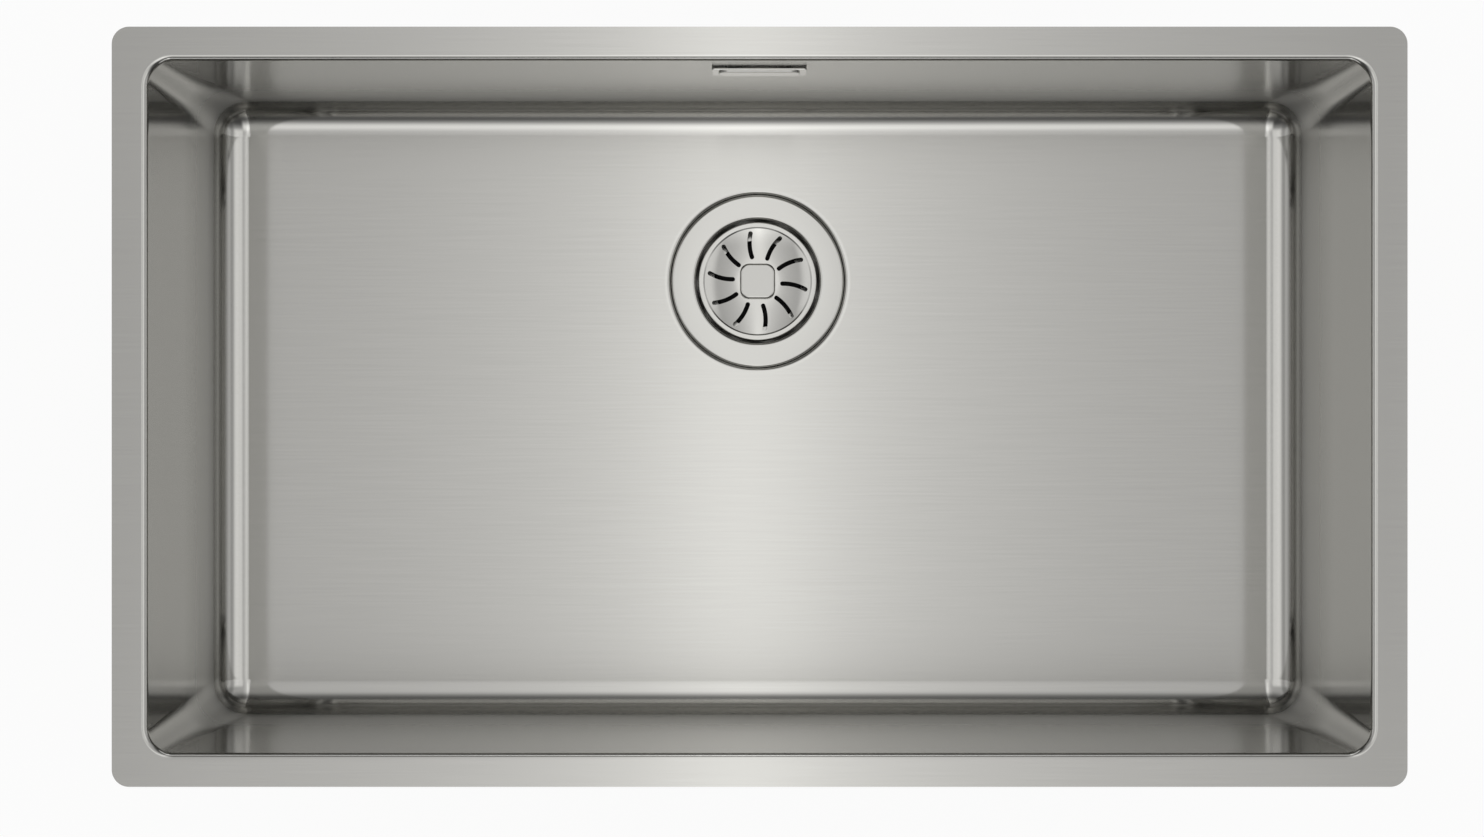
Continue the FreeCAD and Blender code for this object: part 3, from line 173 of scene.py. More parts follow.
@dataclass(frozen=True)
class BrushedSteel(Finish):
    """Stainless steel 1.4301, belt-brushed: warm grey, satin, streaked along the brush lines.

    The lines stretch each reflection across themselves, which is what draws the soft bright
    band over the floor and the sharp bands in the bends.
    """

    colour: str = "#BDBCB8"
    roughness: float = 0.14
    wall_roughness: float = 0.16
    foot_roughness: float = 0.36  # the belt does not reach down to the foot of a wall
    foot_reach: tuple[float, float] = (-165.0, -95.0)  # heights between which the wall changes
    bend_roughness: float = 0.09  # the press burnishes the bends
    anisotropy: float = 1.0
    wall_rise: tuple[float, float] = (0.12, 0.5)  # share of the facing that is upwards on a wall
    level_rise: tuple[float, float] = (0.985, 0.9995)  # and on level sheet, past a bend
    end_share: float = 0.7  # a surface that faces along X by more than this is an end wall
    brush: Brush = Brush.LEVEL
    line_width: float = 0.9  # mm; real lines are finer and would not show
    line_length: float = 70.0  # mm
    line_depth: float = 0.02  # mm
    line_relief: float = 0.12
    line_gloss: float = 0.02  # how far the roughness changes from line to line
    line_shades: tuple[float, float] = (0.94, 1.05)
    axis: tuple[float, float] = (0.0, 0.0)  # where round brushing is centred, in mm

    def shade(self, tree: NodeTree) -> Node:
        """Build brushed metal with its grain and the direction of its lines.

        Args:
            tree: node tree of the material.

        Returns:
            The shader.
        """
        place = add_node(tree, "ShaderNodeTexCoord").outputs["Object"]
        grain = self.grain(tree, place)
        dark, light = self.line_shades
        tint = add_node(tree, "ShaderNodeMix", {
            "Factor": grain,
            "A": self.shade_of(dark),
            "B": self.shade_of(light),
        }, data_type="RGBA")
        spread = add_node(tree, "ShaderNodeMapRange", {
            "Value": grain,
            "To Min": -self.line_gloss,
            "To Max": self.line_gloss,
        })
        gloss = add_node(tree, "ShaderNodeMath", {
            0: self.wear(tree, place),
            1: spread.outputs["Result"],
        }, operation="ADD")
        bump = add_node(tree, "ShaderNodeBump", {
            "Height": grain,
            "Strength": self.line_relief,
            "Distance": self.line_depth * MM,
        })
        feeds = {
            "Base Color": tint.outputs["Result"],
            "Metallic": 1.0,
            "Roughness": gloss.outputs["Value"],
            "Normal": bump.outputs["Normal"],
        }
        if self.brush is not Brush.NONE:
            feeds["Anisotropic"] = self.anisotropy
            feeds["Tangent"] = self.across_lines(tree, place)
        return add_node(tree, "ShaderNodeBsdfPrincipled", feeds)

    def shade_of(self, factor: float) -> tuple[float, float, float, float]:
        """Return the steel's colour, lighter or darker by a factor."""
        red, green, blue, alpha = linear_colour(self.colour)
        return red * factor, green * factor, blue * factor, alpha

    def wear(self, tree: NodeTree, place: NodeSocket) -> NodeSocket:
        """Return the roughness of level sheet, of walls down to their foot, and of the bends.

        Args:
            tree: node tree of the material.
            place: output that gives the point on the object, in metres.

        Returns:
            The output that carries the roughness.
        """
        low, high = self.foot_reach
        height = add_node(tree, "ShaderNodeSeparateXYZ", {"Vector": place}).outputs["Z"]
        wall = add_node(tree, "ShaderNodeMapRange", {
            "Value": height,
            "From Min": low * MM,
            "From Max": high * MM,
            "To Min": self.foot_roughness,
            "To Max": self.wall_roughness,
        })
        rise = self.facing(tree, "Z")
        level = add_node(tree, "ShaderNodeMapRange", {
            "Value": rise,
            "From Min": self.level_rise[0],
            "From Max": self.level_rise[1],
            "To Min": self.bend_roughness,
            "To Max": self.roughness,
        })
        leaning = add_node(tree, "ShaderNodeMapRange", {
            "Value": rise,
            "From Min": self.wall_rise[0],
            "From Max": self.wall_rise[1],
        })
        return add_node(tree, "ShaderNodeMix", {
            "Factor": leaning.outputs["Result"],
            "A": wall.outputs["Result"],
            "B": level.outputs["Result"],
        }).outputs["Result"]

    def facing(self, tree: NodeTree, axis: str) -> NodeSocket:
        """Return how far the surface faces along an axis, either way, from 0 to 1.

        Args:
            tree: node tree of the material.
            axis: "X", "Y" or "Z".

        Returns:
            The output that carries the share.
        """
        normal = add_node(tree, "ShaderNodeNewGeometry").outputs["Normal"]
        parts = add_node(tree, "ShaderNodeSeparateXYZ", {"Vector": normal})
        share = add_node(tree, "ShaderNodeMath", {0: parts.outputs[axis]}, operation="ABSOLUTE")
        return share.outputs["Value"]

    def grain(self, tree: NodeTree, place: NodeSocket) -> NodeSocket:
        """Return noise drawn out along X, or along Y where the surface faces along X.

        Args:
            tree: node tree of the material.
            place: output that gives the point on the object, in metres.

        Returns:
            The output that carries the grain, from 0 to 1.
        """
        fine = 1 / (self.line_width * MM)
        drawn = 1 / (self.line_length * MM)
        if self.brush is Brush.NONE:
            drawn = fine
        streaks = []
        for scale in ((drawn, fine, fine), (fine, drawn, fine)):
            mapped = add_node(tree, "ShaderNodeMapping", {"Vector": place, "Scale": scale})
            noise = add_node(tree, "ShaderNodeTexNoise", {
                "Vector": mapped.outputs["Vector"],
                "Scale": 1.0,
                "Detail": 3.0,
                "Roughness": 0.6,
            })
            streaks.append(noise.outputs["Fac"])
        side = add_node(tree, "ShaderNodeMath", {0: self.facing(tree, "X"), 1: self.end_share},
                        operation="GREATER_THAN")
        return add_node(tree, "ShaderNodeMix", {
            "Factor": side.outputs["Value"],
            "A": streaks[0],
            "B": streaks[1],
        }).outputs["Result"]

    def across_lines(self, tree: NodeTree, place: NodeSocket) -> NodeSocket:
        """Return the direction on the surface that lies across the brush lines.

        Args:
            tree: node tree of the material.
            place: output that gives the point on the object, in metres.

        Returns:
            The output that carries the direction.
        """
        facing = add_node(tree, "ShaderNodeNewGeometry").outputs["Normal"]
        if self.brush is Brush.ROUND:
            middle = (self.axis[0] * MM, self.axis[1] * MM, 0)
            arm = add_node(tree, "ShaderNodeVectorMath", {0: place, 1: middle},
                           operation="SUBTRACT")
            line = add_node(tree, "ShaderNodeVectorMath", {0: UP, 1: arm.outputs["Vector"]},
                            operation="CROSS_PRODUCT")
            return add_node(tree, "ShaderNodeVectorMath", {0: facing, 1: line.outputs["Vector"]},
                            operation="CROSS_PRODUCT").outputs["Vector"]
        level = add_node(tree, "ShaderNodeVectorMath", {0: UP, 1: facing},
                         operation="CROSS_PRODUCT")
        length = add_node(tree, "ShaderNodeVectorMath", {0: level.outputs["Vector"]},
                          operation="LENGTH")
        almost_flat = 0.03
        flat = add_node(tree, "ShaderNodeMath", {0: length.outputs["Value"], 1: almost_flat},
                        operation="LESS_THAN")
        line = add_node(tree, "ShaderNodeMix", {
            "Factor": flat.outputs["Value"],
            4: level.outputs["Vector"],
            5: (1, 0, 0),
        }, data_type="VECTOR")
        return add_node(tree, "ShaderNodeVectorMath", {0: facing, 1: line.outputs[1]},
                        operation="CROSS_PRODUCT").outputs["Vector"]


@dataclass(frozen=True)
class Brass(Finish):
    """Free-cutting brass, turned: yellow and bright, a little duller where it was handled."""

    colour: str = "#D8B26A"
    patch: float = 2.5  # mm across a dull patch
    roughness: tuple[float, float] = (0.22, 0.38)

    def shade(self, tree: NodeTree) -> Node:
        """Build turned brass, a little duller in patches.

        Args:
            tree: node tree of the material.

        Returns:
            The shader.
        """
        place = add_node(tree, "ShaderNodeTexCoord").outputs["Object"]
        patches = add_node(tree, "ShaderNodeTexNoise", {
            "Vector": place,
            "Scale": 1 / (self.patch * MM),
        })
        gloss = add_node(tree, "ShaderNodeMapRange", {
            "Value": patches.outputs["Fac"],
            "To Min": self.roughness[0],
            "To Max": self.roughness[1],
        })
        return add_node(tree, "ShaderNodeBsdfPrincipled", {
            "Base Color": linear_colour(self.colour),
            "Metallic": 1.0,
            "Roughness": gloss.outputs["Result"],
        })


@dataclass(frozen=True)
class Moulded(Finish):
    """A moulded plastic or rubber with the fine spark texture of its mould."""

    colour: str
    shadow_colour: str
    roughness: float
    grit: float = 0.5  # mm across a grain of the mould's texture
    relief: float = 0.03  # mm
    relief_share: float = 0.6
    cloud: float = 30.0  # mm across a drift in the colour
    gloss_spread: float = 0.06
    ior: float = 1.49

    def shade(self, tree: NodeTree) -> Node:
        """Build a moulded surface with fine grit and a slow drift in its colour.

        Args:
            tree: node tree of the material.

        Returns:
            The shader.
        """
        place = add_node(tree, "ShaderNodeTexCoord").outputs["Object"]
        cloud = add_node(tree, "ShaderNodeTexNoise", {
            "Vector": place,
            "Scale": 1 / (self.cloud * MM),
            "Detail": 2.0,
        })
        grit = add_node(tree, "ShaderNodeTexNoise", {
            "Vector": place,
            "Scale": 1 / (self.grit * MM),
            "Detail": 2.0,
        })
        tint = add_node(tree, "ShaderNodeMix", {
            "Factor": cloud.outputs["Fac"],
            "A": linear_colour(self.shadow_colour),
            "B": linear_colour(self.colour),
        }, data_type="RGBA")
        gloss = add_node(tree, "ShaderNodeMapRange", {
            "Value": grit.outputs["Fac"],
            "To Min": self.roughness - self.gloss_spread,
            "To Max": self.roughness + self.gloss_spread,
        })
        bump = add_node(tree, "ShaderNodeBump", {
            "Height": grit.outputs["Fac"],
            "Strength": self.relief_share,
            "Distance": self.relief * MM,
        })
        return add_node(tree, "ShaderNodeBsdfPrincipled", {
            "Base Color": tint.outputs["Result"],
            "Roughness": gloss.outputs["Result"],
            "IOR": self.ior,
            "Normal": bump.outputs["Normal"],
        })


WASTE_AXIS = (0.0, 83.0)
BOWL_STEEL = BrushedSteel("brushed_bowl_steel", "brushed_steel")
# The waste lies below the foot of the walls, so its upright sides have the foot's satin look.
PRESSED_STEEL = BrushedSteel("satin_pressed_steel", "polished_steel", roughness=0.12,
                             brush=Brush.NONE, line_width=0.6)
KNOB_STEEL = BrushedSteel("satin_knob_steel", "knob_steel", roughness=0.2,
                          brush=Brush.NONE, line_width=0.5)
TURNED_STEEL = BrushedSteel("turned_steel", "turned_steel", roughness=0.24,
                            brush=Brush.ROUND, line_width=0.4, axis=WASTE_AXIS)
INSERT_BRASS = Brass("turned_brass", "brass")
BLACK_RUBBER = Moulded("black_seal_rubber", "seal_rubber", colour="#2A2A2A",
                       shadow_colour="#222222", roughness=0.62, ior=1.52)
DAMPING_SHEET = Moulded("bitumen_damping_sheet", "sound_pad", colour="#4A4A4C",
                        shadow_colour="#3F3F41", roughness=0.72, grit=1.4, relief=0.12, ior=1.52)
WHITE_PLASTIC = Moulded("white_polypropylene", "white_plastic", colour="#EFEFEA",
                        shadow_colour="#E9E9E3", roughness=0.42)
GREY_PLASTIC = Moulded("grey_polypropylene", "grey_plastic", colour="#B9BBBC",
                       shadow_colour="#B0B2B3", roughness=0.45)


# Mesh helpers


def make_object(name: str, bm: BMesh) -> Object:
    """Turn a bmesh in millimetres into an object in metres at the origin.

    Args:
        name: name of the piece.
        bm: its mesh, which is freed.

    Returns:
        The object.
    """
    bmesh.ops.scale(bm, vec=(MM, MM, MM), verts=bm.verts)
    mesh = bpy.data.meshes.new(name)
    bm.to_mesh(mesh)
    bm.free()
    piece = bpy.data.objects.new(name, mesh)
    bpy.context.scene.collection.objects.link(piece)
    return piece


def settle(piece: Object) -> None:
    """Apply a piece's modifiers to its mesh.

    Args:
        piece: object whose mesh is replaced by the finished one.
    """
    graph = bpy.context.evaluated_depsgraph_get()
    settled = bpy.data.meshes.new_from_object(piece.evaluated_get(graph), depsgraph=graph,
                                              preserve_all_data_layers=True)
    rough = piece.data
    piece.modifiers.clear()
    piece.data = settled
    bpy.data.meshes.remove(rough)


def add_modifier(piece: Object, kind: str, **settings) -> Modifier:
    """Add a modifier with its settings.

    Args:
        piece: object that gets it.
        kind: its type.
        settings: its properties.

    Returns:
        The modifier.
    """
    modifier = piece.modifiers.new(kind.lower(), kind)
    for name, value in settings.items():
        setattr(modifier, name, value)
    return modifier


def thicken(piece: Object, thickness: float) -> None:
    """Give a surface its sheet thickness in millimetres, on the side away from its normals."""
    add_modifier(piece, "SOLIDIFY", thickness=thickness * MM, offset=-1, use_even_offset=True)
    settle(piece)


def cut_away(piece: Object, cutter: BMesh) -> None:
    """Cut a solid out of a piece.

    Args:
        piece: object to cut.
        cutter: the solid in millimetres, which is used up.
    """
    tool = make_object("cutter", cutter)
    add_modifier(piece, "BOOLEAN", operation="DIFFERENCE", solver="EXACT", object=tool)
    settle(piece)
    bpy.data.objects.remove(tool)


def soften(piece: Object, width: float, segments: int = 2, angle: float = 35) -> None:
    """Break the sharp edges of a piece by a small width in millimetres."""
    add_modifier(piece, "BEVEL", width=width * MM, segments=segments, limit_method="ANGLE",
                 angle_limit=math.radians(angle), use_clamp_overlap=True)
    settle(piece)


def hand_over(piece: Object, finish: Finish, body: Body, *nodes: str) -> None:
    """Shade a finished piece, and let it ride on its body and stand for its CAD nodes.

    Args:
        piece: object whose mesh is final.
        finish: what it is made of.
        body: the CAD body that it moves with.
        nodes: CAD nodes that it stands for.
    """
    piece.data.materials.clear()
    piece.data.materials.append(finish.material())
    piece.data.shade_smooth()
    piece.data.set_sharp_from_angle(angle=SHARP_ANGLE)
    add_modifier(piece, "WEIGHTED_NORMAL", keep_sharp=True, weight=50)
    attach(piece, body.value)
    if nodes:
        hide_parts(*nodes)
    LOG.info("%s: %d faces, for %s", piece.name, len(piece.data.polygons),
             ", ".join(nodes) or "itself")


def dress_node(node: str, finish: Finish) -> None:
    """Give a CAD node its finish, and leave its shape alone.

    Args:
        node: name of the node.
        finish: what it is made of.
    """
    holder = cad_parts[node]
    holder.data.materials.clear()
    holder.data.materials.append(finish.material())
    LOG.info("%s: CAD node in %s", node, finish.name)


def merged_copy(node: str, name: str) -> Object:
    """Copy a CAD node's loose triangles into one closed mesh with flat faces.

    Args:
        node: name of the node.
        name: name of the new piece.

    Returns:
        The new piece.
    """
    bm = bmesh.new()
    bm.from_mesh(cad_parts[node].data)
    bmesh.ops.scale(bm, vec=(1 / MM, 1 / MM, 1 / MM), verts=bm.verts)
    bmesh.ops.remove_doubles(bm, verts=bm.verts, dist=WELD)
    bmesh.ops.dissolve_limit(bm, angle_limit=FLAT_ANGLE, verts=bm.verts, edges=bm.edges)
    return make_object(name, bm)


def stretch(piece: Object, reach: Vector) -> None:
    """Draw out the side of a piece that faces along a reach, by that reach.

    Args:
        piece: object to change.
        reach: way and distance in millimetres.
    """
    bm = bmesh.new()
    bm.from_mesh(piece.data)
    bm.normal_update()
    heading = reach.normalized()
    squarely = 0.9
    side = [face for face in bm.faces if face.normal.dot(heading) > squarely]
    points = {point for face in side for point in face.verts}
    bmesh.ops.translate(bm, verts=list(points), vec=reach * MM)
    bm.to_mesh(piece.data)
    bm.free()


def outline(bm: BMesh, half_length: float, half_width: float, corner: float,
            height: float = 0.0, segments: int = 14) -> list[BMEdge]:
    """Draw a level rectangle with round corners as a loop of edges.

    Args:
        bm: mesh to draw in.
        half_length: half its size along X.
        half_width: half its size along Y.
        corner: radius of its corners.
        height: level of the loop.
        segments: edges in each corner.

    Returns:
        The edges of the loop.
    """
    known_edges = set(bm.edges)
    known_faces = set(bm.faces)
    corners = [bm.verts.new((x * half_length, y * half_width, height)) for x, y in QUADRANTS]
    bm.faces.new(corners)
    bmesh.ops.bevel(bm, geom=corners, offset=corner, affect="VERTICES", segments=segments,
                    profile=0.5, material=-1)
    sheet = [face for face in bm.faces if face not in known_faces]
    bmesh.ops.delete(bm, geom=sheet, context="FACES_ONLY")
    return [edge for edge in bm.edges if edge not in known_edges]


def round_edges(bm: BMesh, edges: list[BMEdge], setback: float, segments: int) -> None:
    """Round edges over by a setback in millimetres on each side."""
    bmesh.ops.bevel(bm, geom=edges, offset=setback, affect="EDGES", segments=segments,
                    profile=0.5, material=-1)


def plate(half_length: float, half_width: float, corner: float, thickness: float,
          segments: int = 8) -> BMesh:
    """Make a solid plate with round corners, lying on the XY plane and reaching down from it.

    Args:
        half_length: half its size along X.
        half_width: half its size along Y.
        corner: radius of its corners.
        thickness: how far it reaches down.
        segments: edges in each corner.

    Returns:
        The plate.
    """
    bm = bmesh.new()
    edges = outline(bm, half_length, half_width, corner, segments=segments)
    bmesh.ops.contextual_create(bm, geom=edges)
    grown = bmesh.ops.extrude_face_region(bm, geom=list(bm.faces))
    moved = [part for part in grown["geom"] if isinstance(part, BMVert)]
    bmesh.ops.translate(bm, verts=moved, vec=(0, 0, -thickness))
    bmesh.ops.recalc_face_normals(bm, faces=bm.faces)
    return bm


def soft_plate(half_length: float, half_width: float, corner: float, thickness: float,
               edge: float, segments: int = 8) -> BMesh:
    """Make a plate whose upper edge is rounded over.

    Args:
        half_length: half its size along X.
        half_width: half its size along Y.
        corner: radius of its corners.
        thickness: how far it reaches down.
        edge: radius of its upper edge.
        segments: edges in each corner.

    Returns:
        The plate.
    """
    bm = plate(half_length, half_width, corner, thickness, segments)
    upper = [line for line in bm.edges
             if all(abs(point.co.z) < ON_LEVEL for point in line.verts)]
    round_edges(bm, upper, edge, EDGE_STEPS)
    return bm


def face_up(bm: BMesh) -> None:
    """Point the normals of an open sheet to its upper side.

    Args:
        bm: mesh of the sheet.
    """
    bmesh.ops.recalc_face_normals(bm, faces=bm.faces)
    lift = sum(face.normal.z * face.calc_area() for face in bm.faces)
    if lift < 0:
        bmesh.ops.reverse_faces(bm, faces=bm.faces)


@dataclass(frozen=True)
class Station:
    """A corner in the section of a turned or pressed part.

    The radius is measured from the part's axis, and the height from the bowl's floor. The
    bend rounds the corner.
    """

    radius: float
    height: float
    bend: float = 0.0


def spun_sheet(stations: tuple[Station, ...], steps: int = 128, bend_steps: int = 6) -> BMesh:
    """Spin a section round the Z axis and round each of its corners by its bend.

    Args:
        stations: corners of the section, from the inside out.
        steps: faces round the axis.
        bend_steps: faces across each bend.

    Returns:
        The surface, with its normals on the upper side.
    """
    bm = bmesh.new()
    points = [bm.verts.new((station.radius, 0, station.height)) for station in stations]
    edges = [bm.edges.new(pair) for pair in zip(points, points[1:])]
    bmesh.ops.spin(bm, geom=points + edges, cent=(0, 0, 0), axis=UP, angle=FULL_TURN, steps=steps,
                   use_merge=True)
    bmesh.ops.remove_doubles(bm, verts=bm.verts, dist=SEAM)
    for before, station, after in zip(stations, stations[1:], stations[2:]):
        if station.bend:
            bend_ring(bm, before, station, after, bend_steps)
    face_up(bm)
    return bm


def bend_ring(bm: BMesh, before: Station, station: Station, after: Station, steps: int) -> None:
    """Round the ring of edges at one corner of a spun section.

    Args:
        bm: mesh of the sheet.
        before: corner before it.
        station: the corner.
        after: corner after it.
        steps: faces across the bend.
    """
    incoming = Vector((station.radius - before.radius, station.height - before.height))
    outgoing = Vector((after.radius - station.radius, after.height - station.height))
    setback = station.bend * math.tan(incoming.angle(outgoing) / 2)

    def on_ring(point: BMVert) -> bool:
        """Return whether a point lies on the ring."""
        place = Vector((point.co.to_2d().length, point.co.z))
        return (place - Vector((station.radius, station.height))).length < ON_RING

    ring = [edge for edge in bm.edges if on_ring(edge.verts[0]) and on_ring(edge.verts[1])]
    round_edges(bm, ring, setback, steps)


def to_waste(bm: BMesh) -> BMesh:
    """Move a mesh from the waste's own axis to its place in the bowl's floor."""
    bmesh.ops.translate(bm, verts=bm.verts, vec=(*WASTE_AXIS, -Bowl.depth))
    return bm


def repeat_round(bm: BMesh, count: int) -> BMesh:
    """Copy a whole mesh round the Z axis.

    Args:
        bm: mesh to copy.
        count: how many there are in the end.

    Returns:
        The same mesh with its copies.
    """
    geometry = list(bm.verts) + list(bm.edges) + list(bm.faces)
    bmesh.ops.spin(bm, geom=geometry, cent=(0, 0, 0), axis=UP,
                   angle=FULL_TURN * (count - 1) / count, steps=count - 1, use_duplicate=True)
    return bm


# Sub-assemblies


@dataclass
class Bowl:
    """The pressed steel bowl with its flat rim, drawn from one sheet. Sizes in millimetres."""

    rim_corner: float = 10.0
    end_border: float = 20.6
    side_border: float = 19.4
    mouth_corner: float = 15.0
    mouth_bend: float = 3.6
    depth: float = 200.0
    wall_lean: float = 1.8
    floor_bend: float = 21.0
    corner_step: float = 1.0
    steel: float = 1.0
    seat_radius: float = 57.0
    seat_depth: float = 3.0
    seat_bend: float = 2.0
    foot_bend: float = 0.4
    hole_radius: float = 45.0
    opening_drop: float = 37.5
    opening_length: float = 52.0
    opening_height: float = 22.0
    opening_corner: float = 6.0
    wall_steps: int = 6
    bend_steps: int = 14

    def __post_init__(self) -> None:
        """Take the rim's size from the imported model."""
        _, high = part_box("sink_bowl")
        self.rim = Vector((high[0], high[1])) / MM
        self.mouth = self.rim - Vector((self.end_border, self.side_border))
        self.lean = math.atan(self.wall_lean / self.depth)

    def loops(self) -> list[tuple[float, float, float]]:
        """Work out the loops that the sheet is drawn through, from the rim down to the floor.

        Returns:
            For each loop its inset from the mouth, its corner and its height.
        """
        turn = math.pi / 2 - self.lean
        setback = self.mouth_bend * math.tan(turn / 2)
        loops = []
        for step in range(self.bend_steps + 1):
            angle = turn * step / self.bend_steps
            inset = self.mouth_bend * math.sin(angle) - setback
            drop = self.mouth_bend * (1 - math.cos(angle))
            loops.append((inset, self.mouth_corner - inset, -drop))
        floor_corner = self.floor_bend + self.corner_step
        low = self.floor_bend * math.tan(turn / 2)
        foot_inset = self.wall_lean - low * math.sin(self.lean)
        foot_height = -self.depth + low * math.cos(self.lean)
        top_inset, top_corner, top_height = loops[-1]
        for step in range(1, self.wall_steps):
            share = step / self.wall_steps
            loops.append((top_inset + (foot_inset - top_inset) * share,
                          top_corner + (floor_corner - top_corner) * share,
                          top_height + (foot_height - top_height) * share))
        for step in range(self.bend_steps + 1):
            angle = self.lean + turn * step / self.bend_steps
            across = self.floor_bend * math.cos(angle)
            inset = self.wall_lean + low - across
            corner = floor_corner - self.floor_bend + across
            height = -self.depth + self.floor_bend - self.floor_bend * math.sin(angle)
            loops.append((inset, corner, height))
        return loops

    def shell(self) -> BMesh:
        """Draw the sheet's upper side: rim, mouth bend, walls, floor bend, floor and seat.

        Returns:
            The open sheet.
        """
        bm = bmesh.new()
        ring = outline(bm, *self.rim, self.rim_corner)
        for inset, corner, height in self.loops():
            following = outline(bm, self.mouth.x - inset, self.mouth.y - inset, corner, height)
            bmesh.ops.bridge_loops(bm, edges=ring + following)
            ring = following
        edge = self.seat(bm)
        bmesh.ops.triangle_fill(bm, edges=ring + edge, use_beauty=True)
        face_up(bm)
        return bm

    def seat(self, bm: BMesh) -> list[BMEdge]:
        """Add the round seat for the waste.

        Args:
            bm: mesh of the bowl.

        Returns:
            The seat's outer edge.
        """
        floor = -self.depth
        foot = floor - self.seat_depth
        rim_radius = self.seat_radius + self.seat_bend * 2
        stations = (
            Station(self.hole_radius, foot),
            Station(self.seat_radius, foot, self.foot_bend),
            Station(self.seat_radius, floor, self.seat_bend),
            Station(rim_radius, floor),
        )
        known = set(bm.verts)
        dish = spun_sheet(stations)
        bmesh.ops.translate(dish, verts=dish.verts, vec=(*WASTE_AXIS, 0))
        mesh = bpy.data.meshes.new("seat")
        dish.to_mesh(mesh)
        dish.free()
        bm.from_mesh(mesh)
        bpy.data.meshes.remove(mesh)
        added = [point for point in bm.verts if point not in known]
        outer = {point for point in added
                 if (point.co.to_2d() - Vector(WASTE_AXIS)).length > rim_radius - ON_LEVEL}
        return [edge for edge in bm.edges if edge.verts[0] in outer and edge.verts[1] in outer]

    def opening(self) -> BMesh:
        """Make the cutter for the overflow's opening in the back wall.

        Returns:
            The cutter.
        """
        reach = self.side_border
        bm = plate(self.opening_length / 2, self.opening_height / 2, self.opening_corner,
                   reach * 2)
        bmesh.ops.rotate(bm, verts=bm.verts, matrix=Matrix.Rotation(-math.pi / 2, 3, "X"))
        bmesh.ops.translate(bm, verts=bm.verts, vec=(0, self.mouth.y - reach, -self.opening_drop))
        return bm

    def build(self) -> None:
        """Make the bowl's sheet, cut its opening, and put it in place of the CAD node."""
        piece = make_object("bowl_shell", self.shell())
        thicken(piece, self.steel)
        cut_away(piece, self.opening())
        hand_over(piece, BOWL_STEEL, Body.SINK, "sink_bowl")


